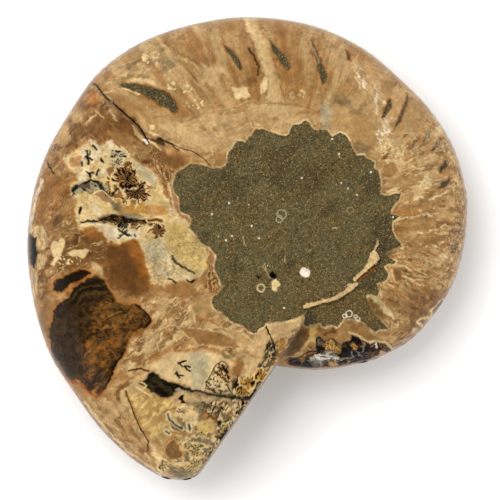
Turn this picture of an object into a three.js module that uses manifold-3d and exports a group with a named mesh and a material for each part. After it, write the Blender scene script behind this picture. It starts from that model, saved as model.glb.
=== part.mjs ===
// A whole ammonite, turned to stone and polished, lying on its flank with the polished flank up.
// One solid. Millimetres, +Z up, standing on z = 0 with the outline centred on the origin.
import * as THREE from 'three';
import Module from 'manifold-3d';
import { mergeVertices } from 'three/addons/utils/BufferGeometryUtils.js';

const wasm = await Module();
wasm.setup();

// Driving dimensions
const WIDTH = 110; // across the coil
const EQUATOR = 12.5; // height of the widest outline above the floor
const DOME = 13; // rise of the polished flank above the equator
const DOME_FALL = 0.18; // share of the rise that is lost at DOME_REACH
const DOME_REACH = 55;
const RIM = 12; // how far the rounded outer edge reaches in from the outline
const RIM_POWER = 2.2; // roundness of that edge, 2 is a circle
const BACK_RIM = 15;
const BACK_POWER = 2;
const WALL_ROUND = 0.9; // worn edge of the aperture wall
const SEAM_HALF = 0.4; // half the width of the ledge where the last whorl covers the one before
const SEAM_DROP = 1.2; // how much lower the covered whorl lies beside that ledge
const SEAM_DROP_REACH = 22;

// Coil of the hidden flank, a logarithmic spiral about the pole
const POLE = new THREE.Vector2(9, 6);
const COIL_GROWTH = 0.1064; // growth of the radius in each radian
const COIL_END_RADIUS = 71;
const UMBILICUS_SHARE = 0.25; // radius of the umbilical seam over the whorl's radius
const UMBILICUS_WALL_SHARE = 0.14; // width of the umbilical wall over the whorl's radius
const FLANK_END = 14.2; // half the whorl's thickness at the aperture, before the face it lies on is lapped
const FLANK_SLOW_TURN = 4; // radians in which the flank keeps most of its thickness
const FLANK_SLOW_SHARE = 0.3;
const INNER_WHORLS = 3;

// Relief of the polished flank
const MUDSTONE_DEPTH = 0.35;
const SEDIMENT_DEPTH = 0.2;
const CRACK_DEPTH = 0.5;
const CRACK_WIDTH = 0.5;
const CRYSTAL_DEPTH = 0.6;

// Resolution of the faceted solid
const APERTURE_STEPS = 9;
const NOTCH_STEPS = 10;
const VENTER_STEPS = 66;
const RIM_RINGS = 7;
const FRONT_INNER_SHARES = [0.75, 0.5, 0.25];
// Rings of the hidden flank, as shares of the umbilical seam's radius on each spoke
const BACK_INNER_SHARES = [1.9, 1.56, 1.36, 1.18, 1.05, 1, 0.8, 0.7, 0.6, 0.53, 0.51, 0.4, 0.3, 0.26, 0.12];
const BACK_REACH_SHARE = 2.1; // keeps those rings inside the rings of the rim on the short spokes

// Places read on the photograph, in its pixels: x to the right, y down
const PHOTO_LEFT = 27.5;
const PHOTO_RIGHT = 467;
const PHOTO_TOP = 17.5;
const PHOTO_BOTTOM = 479.5;
const SCALE = WIDTH / (PHOTO_RIGHT - PHOTO_LEFT);

// The venter's outline, from the notch under the aperture round the coil to the aperture's tip
const VENTER = [
  [276, 366], [300, 369], [320, 369.5], [340, 367.5], [360, 363], [380, 357], [410, 340], [435, 313],
  [453, 283], [463, 250], [467, 215], [465, 186], [453, 147], [430, 110], [400, 79], [365, 50],
  [325, 30], [285, 20], [240, 17.5], [200, 23], [160, 34.5], [125, 52], [94, 78], [65, 120],
  [46, 155], [33, 195], [27.5, 240], [30, 280], [38, 320], [52, 358], [75, 394], [100, 428],
  [130, 457], [160, 476], [175, 479.5], [190, 479], [201, 472],
];
const NOTCH_LENGTH = 21; // the first stretch, which belongs to the whorl under the aperture
const SEAM_INNER_END = [303, 322];

// The scalloped edge of the mudstone in the middle
const MUDSTONE = [
  [290, 131], [286, 136], [277, 134.5], [265, 130], [256, 130], [247, 141], [237, 141], [233, 148],
  [228, 155], [225.5, 165.5], [215, 168], [200, 164.5], [189, 164.5], [177, 172.5], [172.5, 187.5],
  [179, 197], [181, 211], [190, 215], [192, 218], [189, 228], [201, 242], [210, 247], [217, 255],
  [215, 270], [222.5, 288], [214, 296], [213, 305], [222, 312.5], [235, 323], [254, 333.5],
  [259, 329], [266, 323.5], [285, 322], [305.5, 313.5], [304, 324.5], [320, 324], [325, 327.5],
  [338, 327.5], [343, 318.5], [352, 319], [355, 315.5], [364, 322], [376, 331.5], [388, 329],
  [375, 315], [366, 297.5], [367, 294.5], [377.5, 296.5], [379, 292.5], [376, 284], [386, 280],
  [388, 275], [384, 266.5], [396, 262], [386, 254], [387, 250.5], [401, 247], [396, 238],
  [392, 227.5], [394, 221], [399, 216], [391, 213], [391, 209], [399, 200], [401, 193.5],
  [385, 196], [379.5, 194.5], [381, 185], [378, 170], [373.5, 166], [374.5, 162.5], [364, 155.5],
  [356.5, 155.5], [350, 142], [344, 134.5], [340, 133], [332, 137], [325, 129.5], [318.5, 130.5],
  [306, 121], [301, 124], [293, 125],
];

// Shell remains that stand level with the polish inside the mudstone
const LOWER_SHELL_BAR = [
  [303, 305], [325, 300], [342, 292], [355, 282.5], [359, 284.5], [344, 296], [326, 303.5], [304, 309],
];
const UPPER_SHELL_BAR = [
  [353, 280], [363, 269], [371, 252], [376, 251], [379, 239], [379.5, 252], [380, 257], [374, 264],
  [356, 281],
];
const SHELL_DISC = { centre: [305, 272], radius: 5 };

// Dark sediment in the gaps between the ribs
const SEDIMENT_GAPS = [
  [[120, 84], [141, 87], [163, 91], [175, 101], [180, 112], [173, 111], [163, 107], [154, 101], [144, 93]],
  [[226, 46], [236, 53], [244, 69], [238, 67], [232, 58]],
  [[269, 40], [279, 48], [287, 56], [290, 66], [286, 71], [281, 64]],
  [[313, 43], [317, 54], [325, 77], [324, 86], [320, 81], [315, 56]],
  [[389, 99], [392.5, 104], [389, 112], [385.5, 117], [384.5, 110]],
  [[408, 94], [408, 103], [404.5, 112], [400.5, 123], [398, 125], [402, 112]],
];

// The open crack, and the rough strip of dark crystals along the lower right rim
const CRACK = [[91, 82], [97, 86], [108, 99], [119, 108], [128, 117], [139, 126], [149, 143]];
const CRYSTALS = [
  [286, 360], [297, 350], [311, 348], [322, 352], [338, 346], [343, 339], [352, 334], [366, 342],
  [381, 342], [393, 347], [384, 353], [360, 361], [340, 365], [318, 367], [298, 367],
];
// Chips in the rim: place, and how far into the rim each one reaches in millimetres
const RIM_CHIPS = [
  { place: [441, 306], reach: 1.3 },
  { place: [424, 323], reach: 1.1 },
  { place: [46, 163], reach: 0.8 },
  { place: [28, 250], reach: 1.4 },
];

// Photograph pixels to millimetres about the centre of the outline
function place([x, y]) {
  const middleX = (PHOTO_LEFT + PHOTO_RIGHT) / 2;
  const middleY = (PHOTO_TOP + PHOTO_BOTTOM) / 2;
  return new THREE.Vector2((x - middleX) * SCALE, (middleY - y) * SCALE);
}

function smoothstep(low, high, value) {
  return THREE.MathUtils.smoothstep(value, low, high);
}

// Rise of a rounded edge, 0 at the edge and 1 at one unit inside it
function rounded(share, power) {
  const inside = Math.min(Math.max(share, 0), 1);
  return (1 - (1 - inside) ** power) ** (1 / power);
}

function distanceToSegment(point, a, b) {
  const along = b.clone().sub(a);
  const share = THREE.MathUtils.clamp(point.clone().sub(a).dot(along) / along.lengthSq(), 0, 1);
  return point.distanceTo(a.clone().addScaledVector(along, share));
}

function distanceToLine(point, line) {
  let nearest = Infinity;
  for (let i = 1; i < line.length; i += 1) {
    nearest = Math.min(nearest, distanceToSegment(point, line[i - 1], line[i]));
  }
  return nearest;
}

// The venter as a smooth curve, sampled closely at the notch, then the straight aperture
const venter = new THREE.SplineCurve(VENTER.map(place));
const venterLength = venter.getLength();
const notchShare = NOTCH_LENGTH / venterLength;

function spokesAlong(from, to, steps) {
  return Array.from({ length: steps }, (_, i) => venter.getPointAt(from + ((to - from) * i) / steps));
}

const notchEdge = spokesAlong(0, notchShare, NOTCH_STEPS);
const outerEdge = spokesAlong(notchShare, 1, VENTER_STEPS);
const tip = place(VENTER[VENTER.length - 1]);
const notch = place(VENTER[0]);
const apertureEdge = Array.from({ length: APERTURE_STEPS }, (_, i) => (
  tip.clone().lerp(notch, i / APERTURE_STEPS)));
const outline = [...notchEdge, ...outerEdge, ...apertureEdge];
const outerLine = [...outerEdge, tip];
const wholeLine = [...notchEdge, ...outerLine];
const seamInnerEnd = place(SEAM_INNER_END);

// 0 on the last whorl's side of a ledge and 1 on the covered whorl's side
function pastLedge(point, from, to) {
  const along = to.clone().sub(from).normalize();
  const offset = point.clone().sub(from).cross(along);
  return { offset, share: smoothstep(-SEAM_HALF, SEAM_HALF, offset) };
}

function apertureRound(point) {
  return rounded(distanceToSegment(point, tip, notch) / WALL_ROUND, 2);
}

// Height of the polished flank
function frontHeight(point) {
  const dome = DOME * (1 - DOME_FALL * (point.length() / DOME_REACH) ** 2);
  const lastWhorl = dome * rounded(distanceToLine(point, outerLine) / RIM, RIM_POWER);
  const ledge = pastLedge(point, notch, seamInnerEnd);
  const drop = SEAM_DROP * Math.exp(-((point.distanceTo(seamInnerEnd) / SEAM_DROP_REACH) ** 2));
  const edge = rounded(distanceToLine(point, wholeLine) / RIM, RIM_POWER);
  const coveredWhorl = (dome - drop * ledge.share) * edge;
  return EQUATOR + apertureRound(point) * THREE.MathUtils.lerp(lastWhorl, coveredWhorl, ledge.share);
}

// Half the thickness of the whorl at a turn, counted back from the aperture in radians
function flank(turn) {
  const slow = Math.max(turn, -FLANK_SLOW_TURN);
  const full = Math.min(turn + FLANK_SLOW_TURN, 0);
  return FLANK_END * Math.exp(COIL_GROWTH * (FLANK_SLOW_SHARE * slow + full));
}

// Depth of the coil under the equator at a turn and a distance from the pole
function coilDepth(turn, radius) {
  let depth = 0;
  for (let whorl = 0; whorl <= INNER_WHORLS; whorl += 1) {
    const at = turn - whorl * 2 * Math.PI;
    const reach = COIL_END_RADIUS * Math.exp(COIL_GROWTH * at);
    const wall = (radius - UMBILICUS_SHARE * reach) / (UMBILICUS_WALL_SHARE * reach);
    depth = Math.max(depth, flank(at) * rounded(wall, 2));
  }
  return depth;
}

// Turn of a direction from the pole, from 0 at the aperture back to a whole turn at the notch
function turnOf(direction) {
  const notchAngle = notch.clone().sub(POLE).angle();
  return -THREE.MathUtils.euclideanModulo(notchAngle - direction.angle(), 2 * Math.PI);
}

// Height of the hidden flank, lapped flat at z = 0 where it lies on the floor
function backHeight(point) {
  const from = point.clone().sub(POLE);
  const turn = turnOf(from);
  const ledge = pastLedge(point, notch, POLE);
  const nearLedge = from.dot(notch.clone().sub(POLE)) > 0 && Math.abs(ledge.offset) < SEAM_HALF;
  const share = nearLedge ? ledge.share : Math.round(smoothstep(0, 2 * Math.PI, -turn));
  const endTurn = nearLedge ? 0 : turn;
  const startTurn = nearLedge ? -2 * Math.PI : turn;
  const radius = from.length();
  const outerEdgeRise = rounded(distanceToLine(point, outerLine) / BACK_RIM, BACK_POWER);
  const wholeEdgeRise = rounded(distanceToLine(point, wholeLine) / BACK_RIM, BACK_POWER);
  const lastWhorl = coilDepth(endTurn, radius) * outerEdgeRise;
  const coveredWhorl = coilDepth(startTurn, radius) * wholeEdgeRise;
  const depth = apertureRound(point) * THREE.MathUtils.lerp(lastWhorl, coveredWhorl, share);
  return Math.max(EQUATOR - depth, 0);
}

// Rings from the outline to the pole, each a list of points on the spokes
function ringAt(inset) {
  return outline.map((edge) => {
    const toPole = POLE.clone().sub(edge);
    return edge.clone().addScaledVector(toPole.normalize(), inset);
  });
}

function rimRings() {
  return Array.from({ length: RIM_RINGS }, (_, i) => {
    const angle = ((i + 1) / RIM_RINGS) * (Math.PI / 2);
    return ringAt(RIM * (1 - Math.cos(angle) ** (2 / RIM_POWER)));
  });
}

function frontRings() {
  const rings = rimRings();
  const last = rings[rings.length - 1];
  const inner = FRONT_INNER_SHARES.map((share) => last.map((point) => POLE.clone().lerp(point, share)));
  return [...rings, ...inner];
}

function backRings() {
  const rings = rimRings();
  const last = rings[rings.length - 1];
  const inner = BACK_INNER_SHARES.map((share) => last.map((point) => {
    const spoke = point.clone().sub(POLE);
    const seam = UMBILICUS_SHARE * COIL_END_RADIUS * Math.exp(COIL_GROWTH * turnOf(spoke));
    const radius = Math.min(seam * share, spoke.length() * share / BACK_REACH_SHARE);
    return POLE.clone().add(spoke.setLength(radius));
  }));
  return [...rings, ...inner];
}

// Adds the strips between rings, from a starting ring of vertices to a middle vertex
function addSide(positions, faces, start, rings, height, upward) {
  let previous = start;
  const count = outline.length;
  const addFace = (a, b, c) => faces.push(...(upward ? [a, b, c] : [a, c, b]));
  rings.forEach((ring) => {
    const first = positions.length / 3;
    ring.forEach((point) => positions.push(point.x, point.y, height(point)));
    for (let i = 0; i < count; i += 1) {
      const next = (i + 1) % count;
      addFace(previous + i, previous + next, first + next);
      addFace(previous + i, first + next, first + i);
    }
    previous = first;
  });
  const middle = positions.length / 3;
  positions.push(POLE.x, POLE.y, height(POLE));
  for (let i = 0; i < count; i += 1) {
    addFace(previous + i, previous + ((i + 1) % count), middle);
  }
}

// The whole body, with its polished flank lowered by some depth
function bodyGeometry(lowered) {
  const positions = [];
  const faces = [];
  outline.forEach((point) => positions.push(point.x, point.y, EQUATOR));
  addSide(positions, faces, 0, frontRings(), (point) => frontHeight(point) - lowered, true);
  addSide(positions, faces, 0, backRings(), backHeight, false);
  const geometry = new THREE.BufferGeometry();
  geometry.setAttribute('position', new THREE.Float32BufferAttribute(positions, 3));
  geometry.setIndex(faces);
  return geometry;
}

function toSolid(geometry) {
  const bare = geometry.clone();
  bare.deleteAttribute('normal');
  bare.deleteAttribute('uv');
  const merged = mergeVertices(bare, 1e-4);
  return new wasm.Manifold(new wasm.Mesh({
    numProp: 3,
    vertProperties: merged.attributes.position.array,
    triVerts: new Uint32Array(merged.index.array),
  }));
}

// An upright block over an outline, from the equator to clear of the dome
function block(points) {
  const geometry = new THREE.ExtrudeGeometry(new THREE.Shape(points), {
    depth: 2 * DOME,
    bevelEnabled: false,
  });
  geometry.translate(0, 0, EQUATOR + 1);
  return toSolid(geometry);
}

// A crack's outline: pointed at both ends and widest in the middle
function crackOutline(line, width) {
  const points = line.map(place);
  const left = [];
  const right = [];
  for (let i = 1; i < points.length - 1; i += 1) {
    const along = points[i + 1].clone().sub(points[i - 1]).normalize();
    const aside = new THREE.Vector2(-along.y, along.x).multiplyScalar(width / 2);
    left.push(points[i].clone().add(aside));
    right.unshift(points[i].clone().sub(aside));
  }
  return [points[0], ...left, points[points.length - 1], ...right];
}

function discOutline(centre, radius) {
  const curve = new THREE.EllipseCurve(centre.x, centre.y, radius, radius);
  return curve.getPoints(12).slice(0, 12);
}

// Sinks the flank by a depth inside a block
function sink(body, area, depth) {
  const floor = toSolid(bodyGeometry(depth));
  return body.subtract(area.subtract(floor));
}

function mudstoneArea() {
  const shells = [
    LOWER_SHELL_BAR.map(place),
    UPPER_SHELL_BAR.map(place),
    discOutline(place(SHELL_DISC.centre), SHELL_DISC.radius * SCALE),
  ];
  let area = block(MUDSTONE.map(place));
  shells.forEach((shell) => {
    area = area.subtract(block(shell));
  });
  return area;
}

function sedimentArea() {
  return SEDIMENT_GAPS.map((gap) => block(gap.map(place))).reduce((sum, gap) => sum.add(gap));
}

function chip({ place: spot, reach }) {
  const geometry = new THREE.IcosahedronGeometry(2 * reach, 1);
  const centre = place(spot);
  const outward = centre.clone().sub(POLE).normalize();
  const inset = distanceToLine(centre, wholeLine);
  centre.addScaledVector(outward, inset + reach);
  geometry.translate(centre.x, centre.y, EQUATOR + reach);
  return toSolid(geometry);
}

function ammonite() {
  let body = toSolid(bodyGeometry(0));
  body = sink(body, mudstoneArea(), MUDSTONE_DEPTH);
  body = sink(body, sedimentArea(), SEDIMENT_DEPTH);
  body = sink(body, block(crackOutline(CRACK, CRACK_WIDTH)), CRACK_DEPTH);
  body = sink(body, block(CRYSTALS.map(place)), CRYSTAL_DEPTH);
  RIM_CHIPS.forEach((where) => {
    body = body.subtract(chip(where));
  });
  const mesh = body.getMesh();
  const geometry = new THREE.BufferGeometry();
  geometry.setAttribute('position', new THREE.BufferAttribute(mesh.vertProperties, 3));
  geometry.setIndex(new THREE.BufferAttribute(mesh.triVerts, 1));
  geometry.computeBoundingBox();
  const middle = geometry.boundingBox.getCenter(new THREE.Vector3());
  geometry.translate(-middle.x, -middle.y, -geometry.boundingBox.min.z);
  geometry.computeVertexNormals();
  const material = new THREE.MeshStandardMaterial({ color: 0xb08c60, roughness: 0.3, metalness: 0 });
  const piece = new THREE.Mesh(geometry, material);
  piece.name = 'ammonite';
  return piece;
}

const fossil = new THREE.Group();
fossil.add(ammonite());

export default fossil;
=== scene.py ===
"""A whole ammonite, turned to stone and polished, lying on its flank.

Blender 4.5, metres, +Z up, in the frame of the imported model. The form is worked out in millimetres
and the markings in the photograph's pixels, and both are turned into metres when a mesh is placed.
"""
import math

import bpy
import numpy as np
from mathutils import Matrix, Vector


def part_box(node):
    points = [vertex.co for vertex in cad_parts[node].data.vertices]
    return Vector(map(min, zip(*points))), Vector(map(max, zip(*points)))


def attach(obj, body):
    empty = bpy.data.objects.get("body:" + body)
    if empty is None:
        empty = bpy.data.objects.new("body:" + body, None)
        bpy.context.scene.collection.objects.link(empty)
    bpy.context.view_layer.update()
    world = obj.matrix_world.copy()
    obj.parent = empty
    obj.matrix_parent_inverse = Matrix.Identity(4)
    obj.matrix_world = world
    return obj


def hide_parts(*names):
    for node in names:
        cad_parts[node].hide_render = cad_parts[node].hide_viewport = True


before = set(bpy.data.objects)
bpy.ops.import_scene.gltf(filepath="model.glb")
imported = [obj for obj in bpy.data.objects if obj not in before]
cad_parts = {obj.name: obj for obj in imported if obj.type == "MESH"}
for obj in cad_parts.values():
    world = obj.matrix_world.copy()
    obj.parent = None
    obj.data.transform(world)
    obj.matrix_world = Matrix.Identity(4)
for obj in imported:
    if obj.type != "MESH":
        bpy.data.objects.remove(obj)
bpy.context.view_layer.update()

# Driving dimensions of the form, in millimetres
EQUATOR = 12.5
DOME = 13.0
DOME_FALL = 0.18
DOME_REACH = 55.0
RIM = 12.0
RIM_POWER = 2.2
BACK_RIM = 15.0
BACK_POWER = 2.0
WALL_ROUND = 0.9
SEAM_SPREAD = 1.5
SEAM_HALF = 0.4
SEAM_DROP = 1.2
SEAM_DROP_REACH = 22.0
POLE = np.array([9.0, 6.0])
COIL_GROWTH = 0.1064
COIL_END_RADIUS = 71.0
UMBILICUS_SHARE = 0.25
UMBILICUS_WALL_SHARE = 0.14
FLANK_END = 14.2
FLANK_SLOW_TURN = 4.0
FLANK_SLOW_SHARE = 0.3
INNER_WHORLS = 3
MUDSTONE_DEPTH = 0.35
CRYSTAL_DEPTH = 0.6
CRACK_DEPTH = 0.45
CORE_RADIUS = 20.0
CORE_OVERLAP = 0.3
CORE_LIP = 0.03
LARGE_CRYSTAL = 1.4
SMALL_CRYSTAL = 0.6
CRUST_BEDDING = 0.06
SHOULDER = 9.4
ON_EDGE = 1e-6
MM_PER_METRE = 1000.0

# The photograph's frame in its pixels, and its scale in millimetres
PHOTO_SIZE = 500
PHOTO_CENTRE = np.array([250.0, 250.0])
PHOTO_MIDDLE = np.array([247.25, 248.5])
PHOTO_WIDTH = 439.5
PIXEL = 110.0 / PHOTO_WIDTH

# The studio: the camera in millimetres, how far it sees and the floor in metres, and the room's light
CAMERA_HEIGHT = 900.0
SENSOR_WIDTH = 36.0
CAMERA_REACH = 10.0
FLOOR_SIZE = 4.0
STUDIO_LIGHT = 1.33
ROOM_BRIGHTNESS = 1.25
OVERHEAD_BRIGHTNESS = 0.04
OVERHEAD_START = 0.75
OVERHEAD_FULL = 0.92

# Mesh resolution
CURVE_STEPS = 4001
VENTER_STEPS = 3001
COARSE_STEP = 25
MERGE_DISTANCE = 1e-7
SECTORS = ["whorl_start", "whorl_right", "whorl_top", "whorl_left", "whorl_mouth"]
SKIN_COLUMNS = 350
SKIN_ROWS = 260
CORE_COLUMNS = 480
CORE_ROWS = 190
RIM_ROWS_SHARE = 0.38
BACK_COLUMNS = 420
BACK_ROWS = 200
BACK_RIM_ROWS_SHARE = 0.25
CRUST_COLUMNS = 330
CRUST_ROWS = 110

# Sizes of the noise that makes the markings ragged, and of the crumb in the stone, in pixels
WANDER_SIZE = 14
SHAKE_SIZE = 3.5
CRUMB_SIZE = 2.2
CLOUD_SIZE = 7.0

# How much the polish brightens and deepens the colours
POLISH_GAIN = 1.09
POLISH_DEPTH = 1.15

# The broken end, in millimetres: how far inside it the section lies, and where its calcite and fill begin
MOUTH_SECTION = 1.5
MOUTH_CALCITE = (0.5, 1.6)
MOUTH_FILL = (1.6, 3.2)

# Materials: the range that a noise mostly keeps to, and the height of the finest relief, in metres
NOISE_RANGE = (0.3, 0.7)
RELIEF_HEIGHT = 0.00012

# Outlines read on the photograph, in its pixels
VENTER = (
    "276,366 300,369 320,369.5 340,367.5 360,363 380,357 410,340 435,313 453,283 463,250 467,215 "
    "465,186 453,147 430,110 400,79 365,50 325,30 285,20 240,17.5 200,23 160,34.5 125,52 94,78 65,120 "
    "46,155 33,195 27.5,240 30,280 38,320 52,358 75,394 100,428 130,457 160,476 175,479.5 190,479 "
    "201,472")
NOTCH_LENGTH = 21.0
SEAM_INNER_END = (303, 322)
MUDSTONE = (
    "290,131 289,134 286,136 281,135.5 277,134.5 271,132 265,130 261,129.2 256,130 253,134 247,141 "
    "245,143 242,141.5 237,141 235,144 233,148 230,151.5 228,155 227,161 225.5,165.5 220,168 215,168 "
    "210,167 200,164.5 192,163.5 189,164.5 184,168.5 180,170 177,172.5 176,177 173.3,182 172.5,187.5 "
    "175,193 179,197 179.6,204 181,211 185,213.3 190,215 192,218 191,223 189,228 193,232 197.5,237 "
    "201,242 206,245.5 210,247 213.5,251 217,255 216.5,259.5 215,264 215,270 217,274.5 219,280 "
    "222.5,288 219,292.5 214,296 212.6,300 213,305 215,310 222,312.5 225,316 230,321 235,323 242,325 "
    "246,328.5 250,331.5 254,333.5 257,332.5 259,329 264,326.5 266.5,323.3 270,321.3 274,322.5 "
    "279,321.3 285,322 295.5,317.7 305.5,313.5 305,319 304,324.5 307,326.5 312,325 317,323.3 "
    "320.4,323.8 322,326.5 325,327.5 327,325.8 331.5,325.4 335,327 338,327.5 339.5,324 342.5,321.5 "
    "343,318.5 347,318.8 352,319 355,315.5 357.5,318.5 360,321 364,322 368,325.5 372.5,330 376,331.5 "
    "380,329.6 388,329 385,325.5 380,320 375,315 370.8,308.5 367.5,302.5 366,297.5 367,294.5 372.5,295 "
    "377.5,296.5 379,292.5 377.5,287.5 376,284 379,282.5 384,281.7 386,280 388,275 386,270 384,266.5 "
    "388.3,264.2 394,263.8 396,262 391.7,258.3 386,254 387,250.5 392.5,248.8 401,247 400,243.3 396,238 "
    "394.2,233.3 392,227.5 393.3,221.7 396.7,219.2 399,216 394,214.8 391,213 390.4,210 392.5,206.5 "
    "395.8,202.5 399,200 399.6,196.7 401,193.5 396,193.8 391,195.4 385,196 379.5,194.5 379.6,190.8 "
    "381,187 380.8,182.5 379.6,175.8 378,170 373.8,168 373.5,166 374.5,162.5 370.8,160 366,158 "
    "364,155.5 356.5,155.5 354,151.7 352,146.7 350,142 347.5,137.5 344,134.5 340,133 336,135 332,137 "
    "330,135 328.3,131.7 325,129.6 320,128.8 318.5,130.5 314,130 312,127.5 309,123.8 306,121 303,121.7 "
    "301,124 293,125 291.3,128")
LOWER_SHELL_BAR = (
    "303,305.5 312,303 325,300 336,295.5 345,290 352,284.5 355,282.5 358,283 359,285 350,292 342,297 "
    "330,302 318,305 306,308.5 304,309")
UPPER_SHELL_BAR = (
    "353,280 356,276 363,269 367,262 371,252 373.5,251 374,249 376,245 377.5,241 378.5,238.5 379.5,244 "
    "376.5,248 375.5,250.5 379,255 380,258 377,262 372,266 363,274 356,281.5 354,282")
SHELL_BARS = (LOWER_SHELL_BAR, UPPER_SHELL_BAR)
CRYSTAL_STRIP = (
    "284,361 288,357 294,358.5 298,357 303,354.5 309,350.5 316,350 316,338 319,336.5 324,340.5 "
    "333,338.5 336,341.5 341,345 343,342 351,341 351.5,334.5 359,338 364,341.5 370,344.5 376,342 "
    "384,344 392,349.5 387,352.5 380,350.5 379,355 374,358 365,361.5 350,364 334,366.5 318,367.5 "
    "302,367.5 290,366")
MAIN_CRACK = "91,82 97,86 108,99 119,108 128,117 139,126 149,143"

# Colours as the photograph shows them
COLOURS = {
    "honey": (172, 134, 86), "light_tan": (194, 159, 110), "pale": (208, 177, 129), "cream": (229, 204, 153),
    "butter": (205, 176, 112), "gold": (186, 138, 62), "caramel": (150, 104, 54), "toffee": (124, 86, 48),
    "umber": (94, 64, 38), "bark": (64, 45, 28), "soot": (34, 28, 21), "black": (15, 11, 9),
    "slate": (88, 80, 60), "blue_grey": (182, 170, 140), "rust": (158, 84, 30), "orange": (172, 112, 50),
    "rose_tan": (170, 132, 94), "sheen_mauve": (120, 96, 80), "white": (240, 230, 208), "ink_blue": (38, 36, 30),
    "reflection_grey": (176, 168, 158), "ox_blood": (44, 14, 8), "sand": (180, 145, 97), "tawny": (158, 118, 72),
    "mud": (96, 86, 54), "mud_dark": (66, 58, 36), "mud_brown": (98, 78, 42), "apricot": (188, 128, 66),
    "olive_grey": (118, 106, 80),
}


# Small helpers

def linear(colour):
    """A colour as the photograph shows it, turned into what the stone reflects of the studio's light."""
    value = np.array(COLOURS[colour]) / 255.0
    return ((value + 0.055) / 1.055) ** 2.4 / STUDIO_LIGHT


def to_millimetres(pixels):
    """Pixels of the photograph to millimetres about the outline's centre."""
    pixels = np.asarray(pixels, float)
    return (pixels - PHOTO_MIDDLE) * (PIXEL, -PIXEL)


def to_pixels(x, y, height):
    """Where the camera overhead sees points of that height, in the photograph's pixels."""
    nearer = (CAMERA_HEIGHT - EQUATOR) / (CAMERA_HEIGHT - height)
    across = x / PIXEL + PHOTO_MIDDLE[0] - PHOTO_CENTRE[0]
    down = PHOTO_MIDDLE[1] - y / PIXEL - PHOTO_CENTRE[1]
    return PHOTO_CENTRE[0] + across * nearer, PHOTO_CENTRE[1] + down * nearer


def smoothstep(low, high, value):
    """A smooth rise from 0 at one value to 1 at the other."""
    share = np.clip((value - low) / (high - low), 0.0, 1.0)
    return share * share * (3.0 - 2.0 * share)


def mix(first, second, share):
    """The value that lies a share of the way from the first to the second."""
    return first + (second - first) * share


def rounded(share, power):
    """Rise of a rounded edge, 0 at the edge and 1 at one unit inside it."""
    inside = np.clip(share, 0.0, 1.0)
    return (1.0 - (1.0 - inside) ** power) ** (1.0 / power)


def turned(x, y, degrees):
    """Places measured along and across a direction, given in degrees clockwise from the right."""
    cos = math.cos(math.radians(degrees))
    sin = math.sin(math.radians(degrees))
    return x * cos + y * sin, y * cos - x * sin


def points(path):
    """The points of a path: a list of pairs, or a text such as "12,40 18,44"."""
    if isinstance(path, str):
        path = [pair.split(",") for pair in path.split()]
    return np.array(path, float)


def path_distance(x, y, path, closed=False):
    """Distance from places to a path."""
    starts = points(path)
    ends = np.roll(starts, -1, axis=0) if closed else starts[1:]
    nearest = np.full(np.shape(x), np.inf)
    for (ax, ay), (bx, by) in zip(starts, ends):
        along_x = bx - ax
        along_y = by - ay
        length = max(along_x ** 2 + along_y ** 2, 1e-12)
        share = np.clip(((x - ax) * along_x + (y - ay) * along_y) / length, 0.0, 1.0)
        np.minimum(nearest, (x - ax - share * along_x) ** 2 + (y - ay - share * along_y) ** 2, out=nearest)
    return np.sqrt(nearest)


def signed_distance(x, y, outline):
    """Distance to a closed outline, negative inside it."""
    inside = np.zeros(np.shape(x), bool)
    corners = points(outline)
    for (ax, ay), (bx, by) in zip(corners, np.roll(corners, -1, axis=0)):
        if ay == by:
            continue
        crosses = (ay > y) != (by > y)
        inside ^= crosses & (x < (bx - ax) * (y - ay) / (by - ay) + ax)
    distance = path_distance(x, y, outline, closed=True)
    return np.where(inside, -distance, distance)


def lattice_value(column, row, seed):
    """A repeatable pseudo-random value in -1 to 1 for each lattice point."""
    mixed = (column * 374761393 + row * 668265263 + seed * 2147483629) & 0xFFFFFFFF
    mixed = ((mixed ^ (mixed >> 13)) * 1274126177) & 0xFFFFFFFF
    return ((mixed ^ (mixed >> 16)) & 0xFFFF) / 32767.5 - 1.0


def noise(x, y, size, seed, octaves=1):
    """Smooth noise with bumps of about that size."""
    total = np.zeros(np.shape(x))
    weight = 1.0
    for octave in range(octaves):
        u = x / size * 2 ** octave
        v = y / size * 2 ** octave
        column = np.floor(u).astype(np.int64)
        row = np.floor(v).astype(np.int64)
        fu = u - column
        fv = v - row
        fu = fu * fu * (3 - 2 * fu)
        fv = fv * fv * (3 - 2 * fv)
        corners = [
            lattice_value(column + right, row + down, seed + octave) for down in (0, 1) for right in (0, 1)]
        total += weight * mix(mix(corners[0], corners[1], fu), mix(corners[2], corners[3], fu), fv)
        weight *= 0.5
    return total


def cells(x, y, seed):
    """For each point, the seed value of the cell it lies in, and how far it is inside the cell's edge."""
    column = np.floor(x).astype(np.int64)
    row = np.floor(y).astype(np.int64)
    first = np.full(np.shape(x), np.inf)
    second = np.full(np.shape(x), np.inf)
    value = np.zeros(np.shape(x))
    for right in (-1, 0, 1):
        for down in (-1, 0, 1):
            at_column = column + right
            at_row = row + down
            away = np.hypot(at_column + 0.5 + 0.45 * lattice_value(at_column, at_row, seed) - x,
                            at_row + 0.5 + 0.45 * lattice_value(at_column, at_row, seed + 1) - y)
            nearer = away < first
            second = np.where(nearer, first, np.minimum(second, away))
            value = np.where(nearer, lattice_value(at_column, at_row, seed + 2), value)
            first = np.where(nearer, away, first)
    return value, second - first


# The form: outline, polished flank and hidden flank

def lengths_along(line):
    """The length of a line up to each of its points."""
    return np.concatenate([[0.0], np.cumsum(np.hypot(*np.diff(line, axis=0).T))])


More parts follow.
